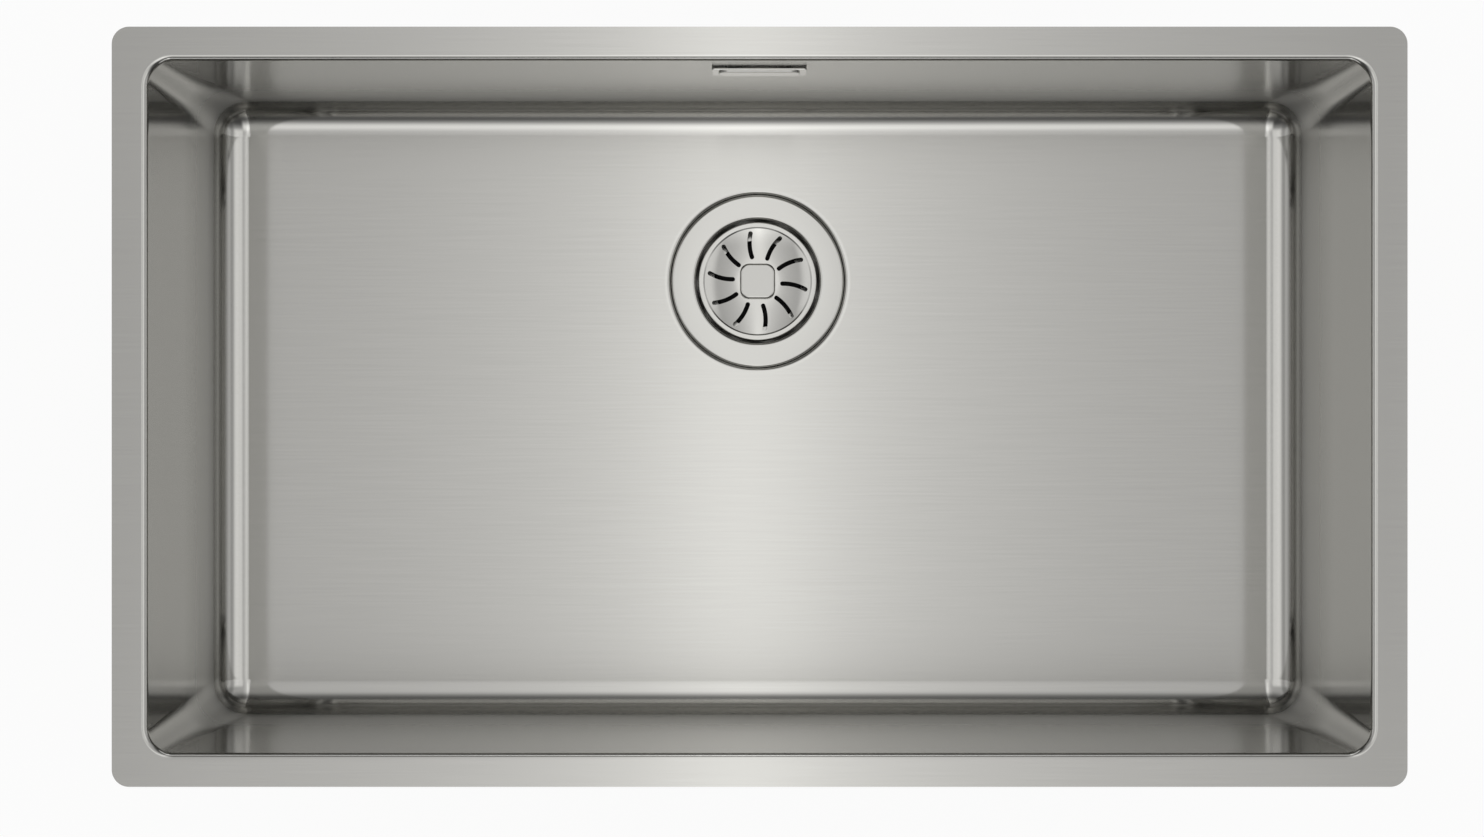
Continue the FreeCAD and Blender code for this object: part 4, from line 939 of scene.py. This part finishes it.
@dataclass
class Waste:
    """The cup in the bowl's floor, its gaskets, the moulded body and its clamping screw."""

    sheet: float = 0.8
    flange_radius: float = 56.6
    flange_height: float = -0.3
    flange_turn: float = 2.0
    flange_bend: float = 1.9
    mouth_radius: float = 40.6
    lip_bend: float = 2.0
    floor_radius: float = 38.0
    floor_height: float = -38.0
    floor_bend: float = 3.0
    well_radius: float = 12.0
    well_slope: float = 1.0
    well_depth: float = 2.5
    screw_hole: float = 3.3
    drain_radius: float = 4.5
    drain_circle: float = 20.5
    drain_count: int = 8
    thread_radius: float = 23.9
    thread_pitch: float = 2.31
    thread_depth: float = 1.1
    thread_turns: int = 8
    thread_steps: int = 40
    crest_share: float = 0.42  # half the groove's width at the crest, as a share of the pitch
    root_width: float = 0.12
    thread_clear: float = 0.4

    def cup(self) -> BMesh:
        """Draw the upper side of the cup, from the screw's hole out to the flange's edge.

        Returns:
            The open sheet.
        """
        well = self.floor_height - self.well_depth
        edge = self.flange_height - self.flange_turn
        return to_waste(spun_sheet((
            Station(self.screw_hole, well),
            Station(self.well_radius, well, self.sheet),
            Station(self.well_radius + self.well_slope, self.floor_height, self.sheet),
            Station(self.floor_radius, self.floor_height, self.floor_bend),
            Station(self.mouth_radius, self.flange_height, self.lip_bend),
            Station(self.flange_radius, self.flange_height, self.flange_bend),
            Station(self.flange_radius, edge),
        )))

    def drain_holes(self) -> BMesh:
        """Make the cutter for the ring of holes in the cup's floor.

        Returns:
            The cutter.
        """
        bm = bmesh.new()
        middle = Matrix.Translation((self.drain_circle, 0, self.floor_height))
        bmesh.ops.create_cone(bm, cap_ends=True, segments=32, radius1=self.drain_radius,
                              radius2=self.drain_radius, depth=self.sheet * 6, matrix=middle)
        return to_waste(repeat_round(bm, self.drain_count))

    def thread(self) -> BMesh:
        """Make the cutter for the outlet's thread: a wedge drawn round in a helix.

        Returns:
            The cutter.
        """
        low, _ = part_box("outlet_tail")
        bm = bmesh.new()
        crest = self.thread_pitch * self.crest_share
        root = self.root_width
        outside = self.thread_radius + self.thread_clear
        inside = self.thread_radius - self.thread_depth
        wedge = [bm.verts.new(place) for place in
                 ((outside, 0, -crest), (outside, 0, crest),
                  (inside, 0, root), (inside, 0, -root))]
        start = bm.faces.new(wedge)
        bmesh.ops.spin(bm, geom=[*wedge, *start.edges, start], cent=(0, 0, 0), axis=UP,
                       dvec=(0, 0, self.thread_pitch / self.thread_steps),
                       angle=FULL_TURN * self.thread_turns,
                       steps=self.thread_steps * self.thread_turns)
        bmesh.ops.holes_fill(bm, edges=bm.edges)
        bmesh.ops.recalc_face_normals(bm, faces=bm.faces)
        foot = low[2] / MM + self.thread_pitch
        bmesh.ops.translate(bm, verts=bm.verts, vec=(*WASTE_AXIS, foot))
        return bm

    def build(self) -> None:
        """Make the cup, cut the thread, and soften the moulded and rubber parts."""
        cup = make_object("waste_cup_pressing", self.cup())
        thicken(cup, self.sheet)
        cut_away(cup, self.drain_holes())
        hand_over(cup, PRESSED_STEEL, Body.SINK, "waste_cup")
        tail = merged_copy("outlet_tail", "threaded_tail")
        cut_away(tail, self.thread())
        hand_over(tail, WHITE_PLASTIC, Body.SINK, "outlet_tail")
        moulding = merged_copy("waste_body", "waste_moulding")
        soften(moulding, 0.5)
        hand_over(moulding, WHITE_PLASTIC, Body.SINK, "waste_body")
        for node in ("cup_gasket", "under_gasket"):
            seal = merged_copy(node, f"soft_{node}")
            soften(seal, 0.4)
            hand_over(seal, BLACK_RUBBER, Body.SINK, node)
        dress_node("thread_insert", INSERT_BRASS)
        dress_node("clamp_screw", TURNED_STEEL)


@dataclass
class Strainer:
    """The dished strainer with its swirling slots, its knob and the plug below it."""

    sheet: float = 0.8
    rim_height: float = -2.0
    rim_radius: float = 38.8
    rim_flat: float = 3.2
    rim_turn: float = 2.0
    rim_bend: float = 1.0
    step_width: float = 1.0
    step_drop: float = 0.45
    step_bend: float = 0.4
    dish_radius: float = 23.5
    dish_drop: float = 2.77
    dish_bend: float = 105.0
    pin_hole: float = 4.08
    slot_count: int = 10
    slot_width: float = 2.9
    slot_start: tuple[float, float] = (14.9, 5.8)  # distance from the axis, and degrees round it
    slot_end: tuple[float, float] = (33.0, 10.5)
    slot_sweep: float = 28.5  # radius of the arc that a slot follows
    slot_steps: int = 12
    slot_round: float = 0.46  # share of the width that each end is rounded by
    slot_clear: tuple[float, float] = (4.0, 2.0)  # how far the cutter passes below and above
    knob_corner: float = 6.0
    knob_edge: float = 1.6

    def dish(self) -> BMesh:
        """Draw the upper side of the strainer: its hollow dish and its flat rim.

        Returns:
            The open sheet.
        """
        edge = self.rim_radius - self.rim_flat
        return to_waste(spun_sheet((
            Station(self.pin_hole, self.rim_height - self.dish_drop),
            Station(self.dish_radius, self.rim_height - self.dish_drop, self.dish_bend),
            Station(edge - self.step_width, self.rim_height - self.step_drop, self.step_bend),
            Station(edge, self.rim_height, self.step_bend),
            Station(self.rim_radius, self.rim_height, self.rim_bend),
            Station(self.rim_radius, self.rim_height - self.rim_turn),
        ), bend_steps=10))

    def slots(self) -> BMesh:
        """Make the cutter for the ring of slots, each bent along an arc, with round ends.

        Returns:
            The cutter.
        """
        ends = []
        for distance, degrees in (self.slot_start, self.slot_end):
            angle = math.radians(-degrees)
            ends.append(Vector((distance * math.cos(angle), distance * math.sin(angle), 0)))
        start, end = ends
        chord = end - start
        rise = math.sqrt(self.slot_sweep ** 2 - (chord.length / 2) ** 2)
        aside = Vector((chord.y, -chord.x, 0)).normalized()
        centre = (start + end) / 2 + aside * rise
        arm = (start - centre).normalized()
        angle = (start - centre).angle(end - centre)
        below, above = self.slot_clear
        foot = self.rim_height - self.dish_drop - below
        top = self.rim_height + above
        half = arm * self.slot_width / 2
        bm = bmesh.new()
        section = [bm.verts.new((*(start + side).xy, height)) for side, height in
                   ((half, foot), (-half, foot), (-half, top), (half, top))]
        first = bm.faces.new(section)
        bmesh.ops.spin(bm, geom=[*section, *first.edges, first], cent=centre, axis=-UP,
                       angle=angle, steps=self.slot_steps)
        bmesh.ops.holes_fill(bm, edges=bm.edges)
        bmesh.ops.recalc_face_normals(bm, faces=bm.faces)
        self.round_ends(bm, start, end)
        return to_waste(repeat_round(bm, self.slot_count))

    def round_ends(self, bm: BMesh, start: Vector, end: Vector) -> None:
        """Round the upright edges at both ends of a slot's cutter.

        Args:
            bm: mesh of the cutter.
            start: middle of the slot's inner end.
            end: middle of its outer end.
        """
        reach = self.slot_width * 0.52  # a little over half, so that both corners are in it

        def at_end(edge: BMEdge) -> bool:
            """Return whether an edge stands upright at either end.

            Args:
                edge: edge of the cutter.

            Returns:
                True where it does.
            """
            upper, lower = edge.verts
            if abs(upper.co.z - lower.co.z) < self.sheet:
                return False
            return min((upper.co.xy - place.xy).length for place in (start, end)) < reach

        edges = [edge for edge in bm.edges if at_end(edge)]
        round_edges(bm, edges, self.slot_width * self.slot_round, 4)

    def knob(self) -> BMesh:
        """Make the rounded square knob with a soft upper edge.

        Returns:
            The knob, as large as its node.
        """
        low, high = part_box("strainer_knob")
        half = (high[0] - low[0]) / 2 / MM
        height = (high[2] - low[2]) / MM
        bm = soft_plate(half, half, self.knob_corner, height, self.knob_edge, segments=10)
        bmesh.ops.translate(bm, verts=bm.verts, vec=(*WASTE_AXIS, high[2] / MM))
        return bm

    def build(self) -> None:
        """Make the dish and the knob, and dress what hangs below them."""
        dish = make_object("strainer_dish", self.dish())
        thicken(dish, self.sheet)
        cut_away(dish, self.slots())
        hand_over(dish, PRESSED_STEEL, Body.BASKET, "strainer_basket")
        knob = make_object("strainer_grip", self.knob())
        hand_over(knob, KNOB_STEEL, Body.PLUG, "strainer_knob")
        seal = merged_copy("plug_seal", "soft_plug")
        soften(seal, 0.3)
        hand_over(seal, BLACK_RUBBER, Body.PLUG, "plug_seal")
        dress_node("strainer_stem", TURNED_STEEL)
        dress_node("seal_nut", TURNED_STEEL)


@dataclass
class Overflow:
    """The cover inside the back wall and the housing behind it."""

    cover_length: float = 56.0
    cover_height: float = 26.0
    cover_corner: float = 1.5
    cover_depth: float = 1.0
    cover_gap: float = 1.1
    cover_edge: float = 0.3
    panel_inset: float = 4.0
    panel_corner: float = 5.0
    panel_depth: float = 0.9
    panel_edge: float = 0.8
    stud_radius: float = 2.0
    stud_spacing: float = 30.0
    stud_length: float = 25.8
    stud_root: float = 0.2  # how far a stud is let into the plate
    backing_border: float = 18.0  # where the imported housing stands, behind the wall
    backing_lean: float = 3.0
    gasket_reach: float = 1.3

    def wall_frame(self, bowl: Bowl, top: float, lean: float) -> Matrix:
        """Return the frame on a wall's outside at the opening, with Y out of it and Z up it.

        Args:
            bowl: the bowl whose wall it is.
            top: distance of the wall's inside from the middle, at the mouth.
            lean: how far the wall leans, in radians.

        Returns:
            The frame.
        """
        reach = top + bowl.steel - math.tan(lean) * bowl.opening_drop
        return (Matrix.Translation((0, reach, -bowl.opening_drop))
                @ Matrix.Rotation(-lean, 4, "X"))

    def backing(self, bowl: Bowl) -> tuple[Matrix, float]:
        """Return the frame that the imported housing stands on, and its lean in radians."""
        lean = math.atan(self.backing_lean / bowl.depth)
        return self.wall_frame(bowl, bowl.rim.y - self.backing_border, lean), lean

    def upright(self, bowl: Bowl, bm: BMesh) -> BMesh:
        """Stand a level mesh up against the back wall, facing into the bowl.

        Args:
            bowl: the bowl whose wall it is.
            bm: mesh that lies below the XY plane.

        Returns:
            The same mesh in its place.
        """
        front = -(bowl.steel + self.cover_gap + self.cover_depth)
        stand = Matrix.Translation((0, front, 0)) @ Matrix.Rotation(math.pi / 2, 4, "X")
        wall = self.wall_frame(bowl, bowl.mouth.y, bowl.lean)
        bmesh.ops.transform(bm, matrix=wall @ stand, verts=bm.verts)
        return bm

    def cover(self, bowl: Bowl) -> BMesh:
        """Make the cover's plate and the two studs behind it.

        Args:
            bowl: the bowl whose wall it stands on.

        Returns:
            The cover.
        """
        bm = plate(self.cover_length / 2, self.cover_height / 2, self.cover_corner,
                   self.cover_depth)
        stud_middle = self.stud_root - self.cover_depth - self.stud_length / 2
        for side in (-1, 1):
            middle = Matrix.Translation((side * self.stud_spacing / 2, 0, stud_middle))
            bmesh.ops.create_cone(bm, cap_ends=True, segments=24, radius1=self.stud_radius,
                                  radius2=self.stud_radius, depth=self.stud_length, matrix=middle)
        return self.upright(bowl, bm)

    def panel(self, bowl: Bowl) -> BMesh:
        """Make the raised panel on the cover's face, with a soft edge.

        Args:
            bowl: the bowl whose wall it stands on.

        Returns:
            The panel.
        """
        half_length = self.cover_length / 2 - self.panel_inset
        half_height = self.cover_height / 2 - self.panel_inset
        bm = soft_plate(half_length, half_height, self.panel_corner, self.panel_depth * 2,
                        self.panel_edge)
        bmesh.ops.translate(bm, verts=bm.verts, vec=(0, 0, self.panel_depth))
        return self.upright(bowl, bm)

    def build(self, bowl: Bowl) -> None:
        """Make the cover with its panel, and soften what stands behind the wall.

        Args:
            bowl: the bowl whose wall it stands on.
        """
        cover = make_object("overflow_face", self.cover(bowl))
        soften(cover, self.cover_edge)
        hand_over(cover, PRESSED_STEEL, Body.SINK, "overflow_cover")
        panel = make_object("overflow_panel", self.panel(bowl))
        hand_over(panel, PRESSED_STEEL, Body.SINK)
        softened = (
            ("overflow_housing", WHITE_PLASTIC, 0.5),
            ("overflow_gasket", BLACK_RUBBER, 0.3),
            ("overflow_nuts", TURNED_STEEL, 0.25),
            ("hose_nut_top", GREY_PLASTIC, 0.3),
            ("hose_nut_bottom", GREY_PLASTIC, 0.3),
            ("hose_seal_top", BLACK_RUBBER, 0.2),
            ("hose_seal_bottom", BLACK_RUBBER, 0.2),
        )
        for node, finish, width in softened:
            piece = merged_copy(node, f"finished_{node}")
            if node == "overflow_gasket":
                stretch(piece, Vector((0, -self.gasket_reach, 0)))
            soften(piece, width)
            hand_over(piece, finish, Body.SINK, node)


@dataclass
class Hose:
    """The ribbed hose from the overflow's pipe down to the waste body's port."""

    cuff_radius: float = 8.5
    cuff_length: float = 16.0
    root: float = 8.2
    crest: float = 9.6
    ribs: int = 20
    rib_steps: int = 10
    rib_fullness: float = 0.7  # below 1 the ribs' tops are wider than the grooves
    sides: int = 40
    turn_radius: float = 45.0
    wall: float = 1.2
    pipe_offset: float = 13.3  # from the wall's outside
    start_drop: float = 24.0  # below the opening's middle
    insert: float = 6.0  # how far it is pushed onto the port
    port_end: float = 149.0
    port_height: float = -248.0

    def build(self, bowl: Bowl, overflow: Overflow) -> None:
        """Draw rings down the hose's line, join them, and put the hose in its node's place.

        Args:
            bowl: the bowl that it runs down.
            overflow: the overflow that it starts from.
        """
        place, lean = overflow.backing(bowl)
        start = place @ Vector((0, self.pipe_offset, -self.start_drop))
        sweep = math.pi / 2 - lean
        turn_height = self.turn_radius * (1 - math.sin(lean))
        fall = (start.z - self.port_height - turn_height) / math.cos(lean)
        turn = self.turn_radius * sweep
        foot = start.y - fall * math.sin(lean) - self.turn_radius * math.cos(lean)
        level = foot - self.port_end + self.insert
        length = fall + turn + level
        bm = bmesh.new()
        previous = None
        for distance, radius in self.rings(length):
            across = self.station(distance, start, lean, fall, sweep)
            known = set(bm.edges)
            bmesh.ops.create_circle(bm, segments=self.sides, radius=radius, matrix=across)
            ring = [edge for edge in bm.edges if edge not in known]
            if previous:
                bmesh.ops.bridge_loops(bm, edges=previous + ring)
            previous = ring
        bmesh.ops.recalc_face_normals(bm, faces=bm.faces)
        outward = sum(face.normal.dot(Vector((0, face.calc_center_median().y - start.y, 0)))
                      for face in bm.faces if face.calc_center_median().z > start.z - fall / 2)
        if outward < 0:
            bmesh.ops.reverse_faces(bm, faces=bm.faces)
        piece = make_object("ribbed_hose", bm)
        thicken(piece, self.wall)
        hand_over(piece, GREY_PLASTIC, Body.SINK, "overflow_hose")

    def rings(self, length: float) -> list[tuple[float, float]]:
        """Work out the rings of the plain cuffs and of the round-topped ribs between them.

        Args:
            length: length of the hose.

        Returns:
            For each ring its distance from the start and its radius.
        """
        rings = [(0.0, self.cuff_radius), (self.cuff_length, self.cuff_radius)]
        pitch = (length - 2 * self.cuff_length) / self.ribs
        for rib in range(self.ribs):
            for step in range(self.rib_steps):
                share = (step + 0.5) / self.rib_steps
                swell = (0.5 - 0.5 * math.cos(FULL_TURN * share)) ** self.rib_fullness
                radius = self.root + (self.crest - self.root) * swell
                rings.append((self.cuff_length + (rib + share) * pitch, radius))
        rings += [(length - self.cuff_length, self.cuff_radius), (length, self.cuff_radius)]
        return rings

    def station(self, distance: float, start: Vector, lean: float, fall: float,
                sweep: float) -> Matrix:
        """Return the frame across the hose at a distance from its start.

        Args:
            distance: how far along the hose.
            start: where the hose starts.
            lean: how far the wall leans, in radians.
            fall: length of the run down the wall.
            sweep: angle of the turn.

        Returns:
            A frame whose Z runs along the hose.
        """
        bend = min(max(distance - fall, 0) / self.turn_radius, sweep)
        heading = lean + bend
        beyond = max(distance - fall - self.turn_radius * sweep, 0)
        point = start + Vector((0, -math.sin(lean), -math.cos(lean))) * min(distance, fall)
        point += Vector((0, math.cos(heading) - math.cos(lean),
                         math.sin(lean) - math.sin(heading))) * self.turn_radius
        point += Vector((0, -beyond, 0))
        return Matrix.Translation(point) @ Matrix.Rotation(math.pi - heading, 4, "X")


@dataclass
class SoundPads:
    """The damping sheets glued under the floor and to the walls."""

    edge: float = 0.9
    side_reach: float = 1.3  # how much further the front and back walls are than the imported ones
    end_reach: float = 1.0

    def build(self) -> None:
        """Let each wall pad reach the wall that it is glued to, and soften its cut edges."""
        pads = (
            ("floor_pad_left", 0, 0),
            ("floor_pad_right", 0, 0),
            ("front_pad", 0, self.side_reach),
            ("back_pad_left", 0, -self.side_reach),
            ("back_pad_right", 0, -self.side_reach),
            ("end_pad_left", self.end_reach, 0),
            ("end_pad_right", -self.end_reach, 0),
        )
        for node, across, along in pads:
            pad = merged_copy(node, f"damping_{node}")
            if across or along:
                stretch(pad, Vector((across, along, 0)))
            soften(pad, self.edge)
            hand_over(pad, DAMPING_SHEET, Body.SINK, node)


@dataclass
class Studio:
    """The pale floor, the soft light and the camera straight above the sink."""

    camera_place: tuple[float, float, float] = (-0.0102, -0.0068, 1.551)
    lens: float = 65.01
    sensor: float = 36.0
    nearest: float = 0.01
    floor_size: float = 30.0
    floor_colour: str = "#F4F4F2"
    floor_white: float = 0.93  # share of plain white; the rest takes the sink's shadow
    brightest: float = 2.0
    # Each stop is a tilt from straight up, in degrees, and the light that comes from there:
    # a strip along the middle, boxes beyond both ends, and a box behind the back wall.
    strip: tuple[tuple[float, float], ...] = (
        (0, 1.46), (1.0, 1.37), (2.0, 1.2), (3.0, 1.08), (4.0, 1.0), (5.6, 0.9), (7.7, 0.8),
        (10, 0.74), (12, 0.69), (14.0, 0.62), (43, 0.6), (48, 0.36), (56, 0.32), (61, 0.42),
        (66, 0.42), (72, 0.36), (77, 0.65), (82, 1.0), (90, 1.0),
    )
    end_boxes: tuple[tuple[float, float], ...] = (
        (0, 0.0), (14.0, 0.0), (15.5, 0.32), (18, 0.5), (27, 0.48), (35, 0.6), (43, 0.45),
        (48, 0.16), (56, 0.13), (61, 0.33), (66, 0.26), (72, 0.06), (77, 0.0), (90, 0.0),
    )
    box_gain: tuple[tuple[float, float], ...] = (
        (-90, 0.1), (-79, 0.3), (-73, 1.3), (-65, 1.3), (-62, 0.2), (-54, 0.15), (-42, 0.14),
        (-36, 0.24), (-30, 0.46), (-24, 0.75), (-18, 1.0), (31, 1.0), (36, 0.9), (42, 0.65),
        (48, 0.36), (54, 0.2), (62, 0.15), (65, 1.3), (73, 1.3), (79, 0.3), (90, 0.1),
    )
    back_box: tuple[tuple[float, float], ...] = (
        (-53, 0.0), (-48, 0.13), (-42, 0.37), (-36, 0.69), (-30, 0.87), (-24, 0.77), (-18, 0.38),
        (-12, 0.12), (-9, 0.0),
    )
    end_box_reach: tuple[float, float] = (12.0, 22.0)
    back_box_reach: tuple[float, float] = (12.0, 19.0)

    def build(self) -> None:
        """Make the floor, the light and the camera."""
        self.lay_floor()
        self.light_world()
        self.aim_camera()

    def lay_floor(self) -> None:
        """Lay the white floor under the lowest point of the sink."""
        low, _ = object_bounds()
        bm = bmesh.new()
        bmesh.ops.create_grid(bm, size=self.floor_size / 2 / MM)
        bmesh.ops.translate(bm, verts=bm.verts, vec=(0, 0, low[2] / MM))
        floor = make_object("studio_floor", bm)
        material = bpy.data.materials.new("white_studio_floor")
        material.use_nodes = True
        tree = material.node_tree
        tree.nodes.clear()
        path = add_node(tree, "ShaderNodeLightPath").outputs
        seen = path["Is Camera Ray"]
        for kind in ("Is Glossy Ray", "Is Transmission Ray"):
            seen = add_node(tree, "ShaderNodeMath", {0: seen, 1: path[kind]},
                            operation="MAXIMUM").outputs["Value"]
        share = add_node(tree, "ShaderNodeMath", {0: seen, 1: self.floor_white},
                         operation="MULTIPLY")
        matt = add_node(tree, "ShaderNodeBsdfDiffuse", {"Color": linear_colour(self.floor_colour)})
        white = add_node(tree, "ShaderNodeEmission", {"Color": (1, 1, 1, 1), "Strength": 1.0})
        both = add_node(tree, "ShaderNodeMixShader", {
            0: share.outputs[0],
            1: matt.outputs[0],
            2: white.outputs[0],
        })
        add_node(tree, "ShaderNodeOutputMaterial", {"Surface": both.outputs[0]})
        floor.data.materials.append(material)
        floor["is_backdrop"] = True

    def light_world(self) -> None:
        """Light the sink from a wide soft box overhead, with a bright strip down its middle."""
        world = bpy.data.worlds.new("studio")
        bpy.context.scene.world = world
        world.use_nodes = True
        tree = world.node_tree
        tree.nodes.clear()
        direction = add_node(tree, "ShaderNodeTexCoord").outputs["Generated"]
        parts = add_node(tree, "ShaderNodeSeparateXYZ", {"Vector": direction}).outputs
        across, along = [add_node(tree, "ShaderNodeMath", {0: parts[axis]}, operation="ARCSINE")
                         for axis in "XY"]
        aside, apart = [add_node(tree, "ShaderNodeMath", {0: tilt.outputs[0]},
                                 operation="ABSOLUTE") for tilt in (across, along)]
        strip = self.level_by(tree, aside, self.strip)
        ends = self.level_by(tree, aside, self.end_boxes)
        gain = self.level_by(tree, along, self.box_gain)
        back = self.level_by(tree, along, self.back_box)
        near_ends = self.fade_by(tree, apart, self.end_box_reach)
        near_back = self.fade_by(tree, aside, self.back_box_reach)
        ends = add_node(tree, "ShaderNodeMath", {0: ends, 1: near_ends}, operation="MULTIPLY")
        both = add_node(tree, "ShaderNodeMath", {0: back, 1: near_back, 2: ends.outputs[0]},
                        operation="MULTIPLY_ADD")
        level = add_node(tree, "ShaderNodeMath", {0: strip, 1: gain, 2: both.outputs[0]},
                         operation="MULTIPLY_ADD")
        path = add_node(tree, "ShaderNodeLightPath").outputs
        light = add_node(tree, "ShaderNodeBackground", {
            "Color": (1, 1, 1, 1),
            "Strength": level.outputs[0],
        })
        white = add_node(tree, "ShaderNodeBackground", {"Color": (1, 1, 1, 1), "Strength": 1.0})
        mixed = add_node(tree, "ShaderNodeMixShader", {
            0: path["Is Camera Ray"],
            1: light.outputs[0],
            2: white.outputs[0],
        })
        add_node(tree, "ShaderNodeOutputWorld", {"Surface": mixed.outputs[0]})

    def level_by(self, tree: NodeTree, tilt: Node,
                 stops: tuple[tuple[float, float], ...]) -> NodeSocket:
        """Return the light that the stops give for a tilt.

        Args:
            tree: node tree of the world.
            tilt: node that gives the tilt in radians.
            stops: tilts in degrees, each with its light.

        Returns:
            The output that carries the light.
        """
        place = add_node(tree, "ShaderNodeMapRange", {
            "Value": tilt.outputs[0],
            "From Min": -math.pi / 2,
            "From Max": math.pi / 2,
        })
        ramp = add_node(tree, "ShaderNodeValToRGB", {"Fac": place.outputs["Result"]})
        elements = ramp.color_ramp.elements
        for _ in stops[2:]:
            elements.new(0.5)
        for element, (degrees, level) in zip(elements, stops):
            element.position = 0.5 + degrees / 180
            element.color = (level / self.brightest,) * 3 + (1,)
        return add_node(tree, "ShaderNodeMath", {0: ramp.outputs["Color"], 1: self.brightest},
                        operation="MULTIPLY").outputs["Value"]

    def fade_by(self, tree: NodeTree, tilt: Node, reach: tuple[float, float]) -> NodeSocket:
        """Return a share that falls from 1 to 0 between two tilts in degrees."""
        start, end = reach
        return add_node(tree, "ShaderNodeMapRange", {
            "Value": tilt.outputs[0],
            "From Min": math.radians(start),
            "From Max": math.radians(end),
            "To Min": 1.0,
            "To Max": 0.0,
        }).outputs["Result"]

    def aim_camera(self) -> None:
        """Hang the camera above the sink, looking straight down with the back wall on top."""
        camera = bpy.data.cameras.new("camera")
        camera.lens = self.lens
        camera.sensor_width = self.sensor
        camera.clip_start = self.nearest
        holder = bpy.data.objects.new("camera", camera)
        holder.location = self.camera_place
        bpy.context.scene.collection.objects.link(holder)
        bpy.context.scene.camera = holder


def main() -> None:
    """Build every sub-assembly on the frame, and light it."""
    logging.basicConfig(level=logging.INFO, format="%(message)s")
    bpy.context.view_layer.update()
    bpy.context.scene.view_settings.view_transform = "Standard"
    bowl = Bowl()
    overflow = Overflow()
    bowl.build()
    Waste().build()
    Strainer().build()
    overflow.build(bowl)
    Hose().build(bowl, overflow)
    SoundPads().build()
    Studio().build()


if __name__ == "__main__":
    main()
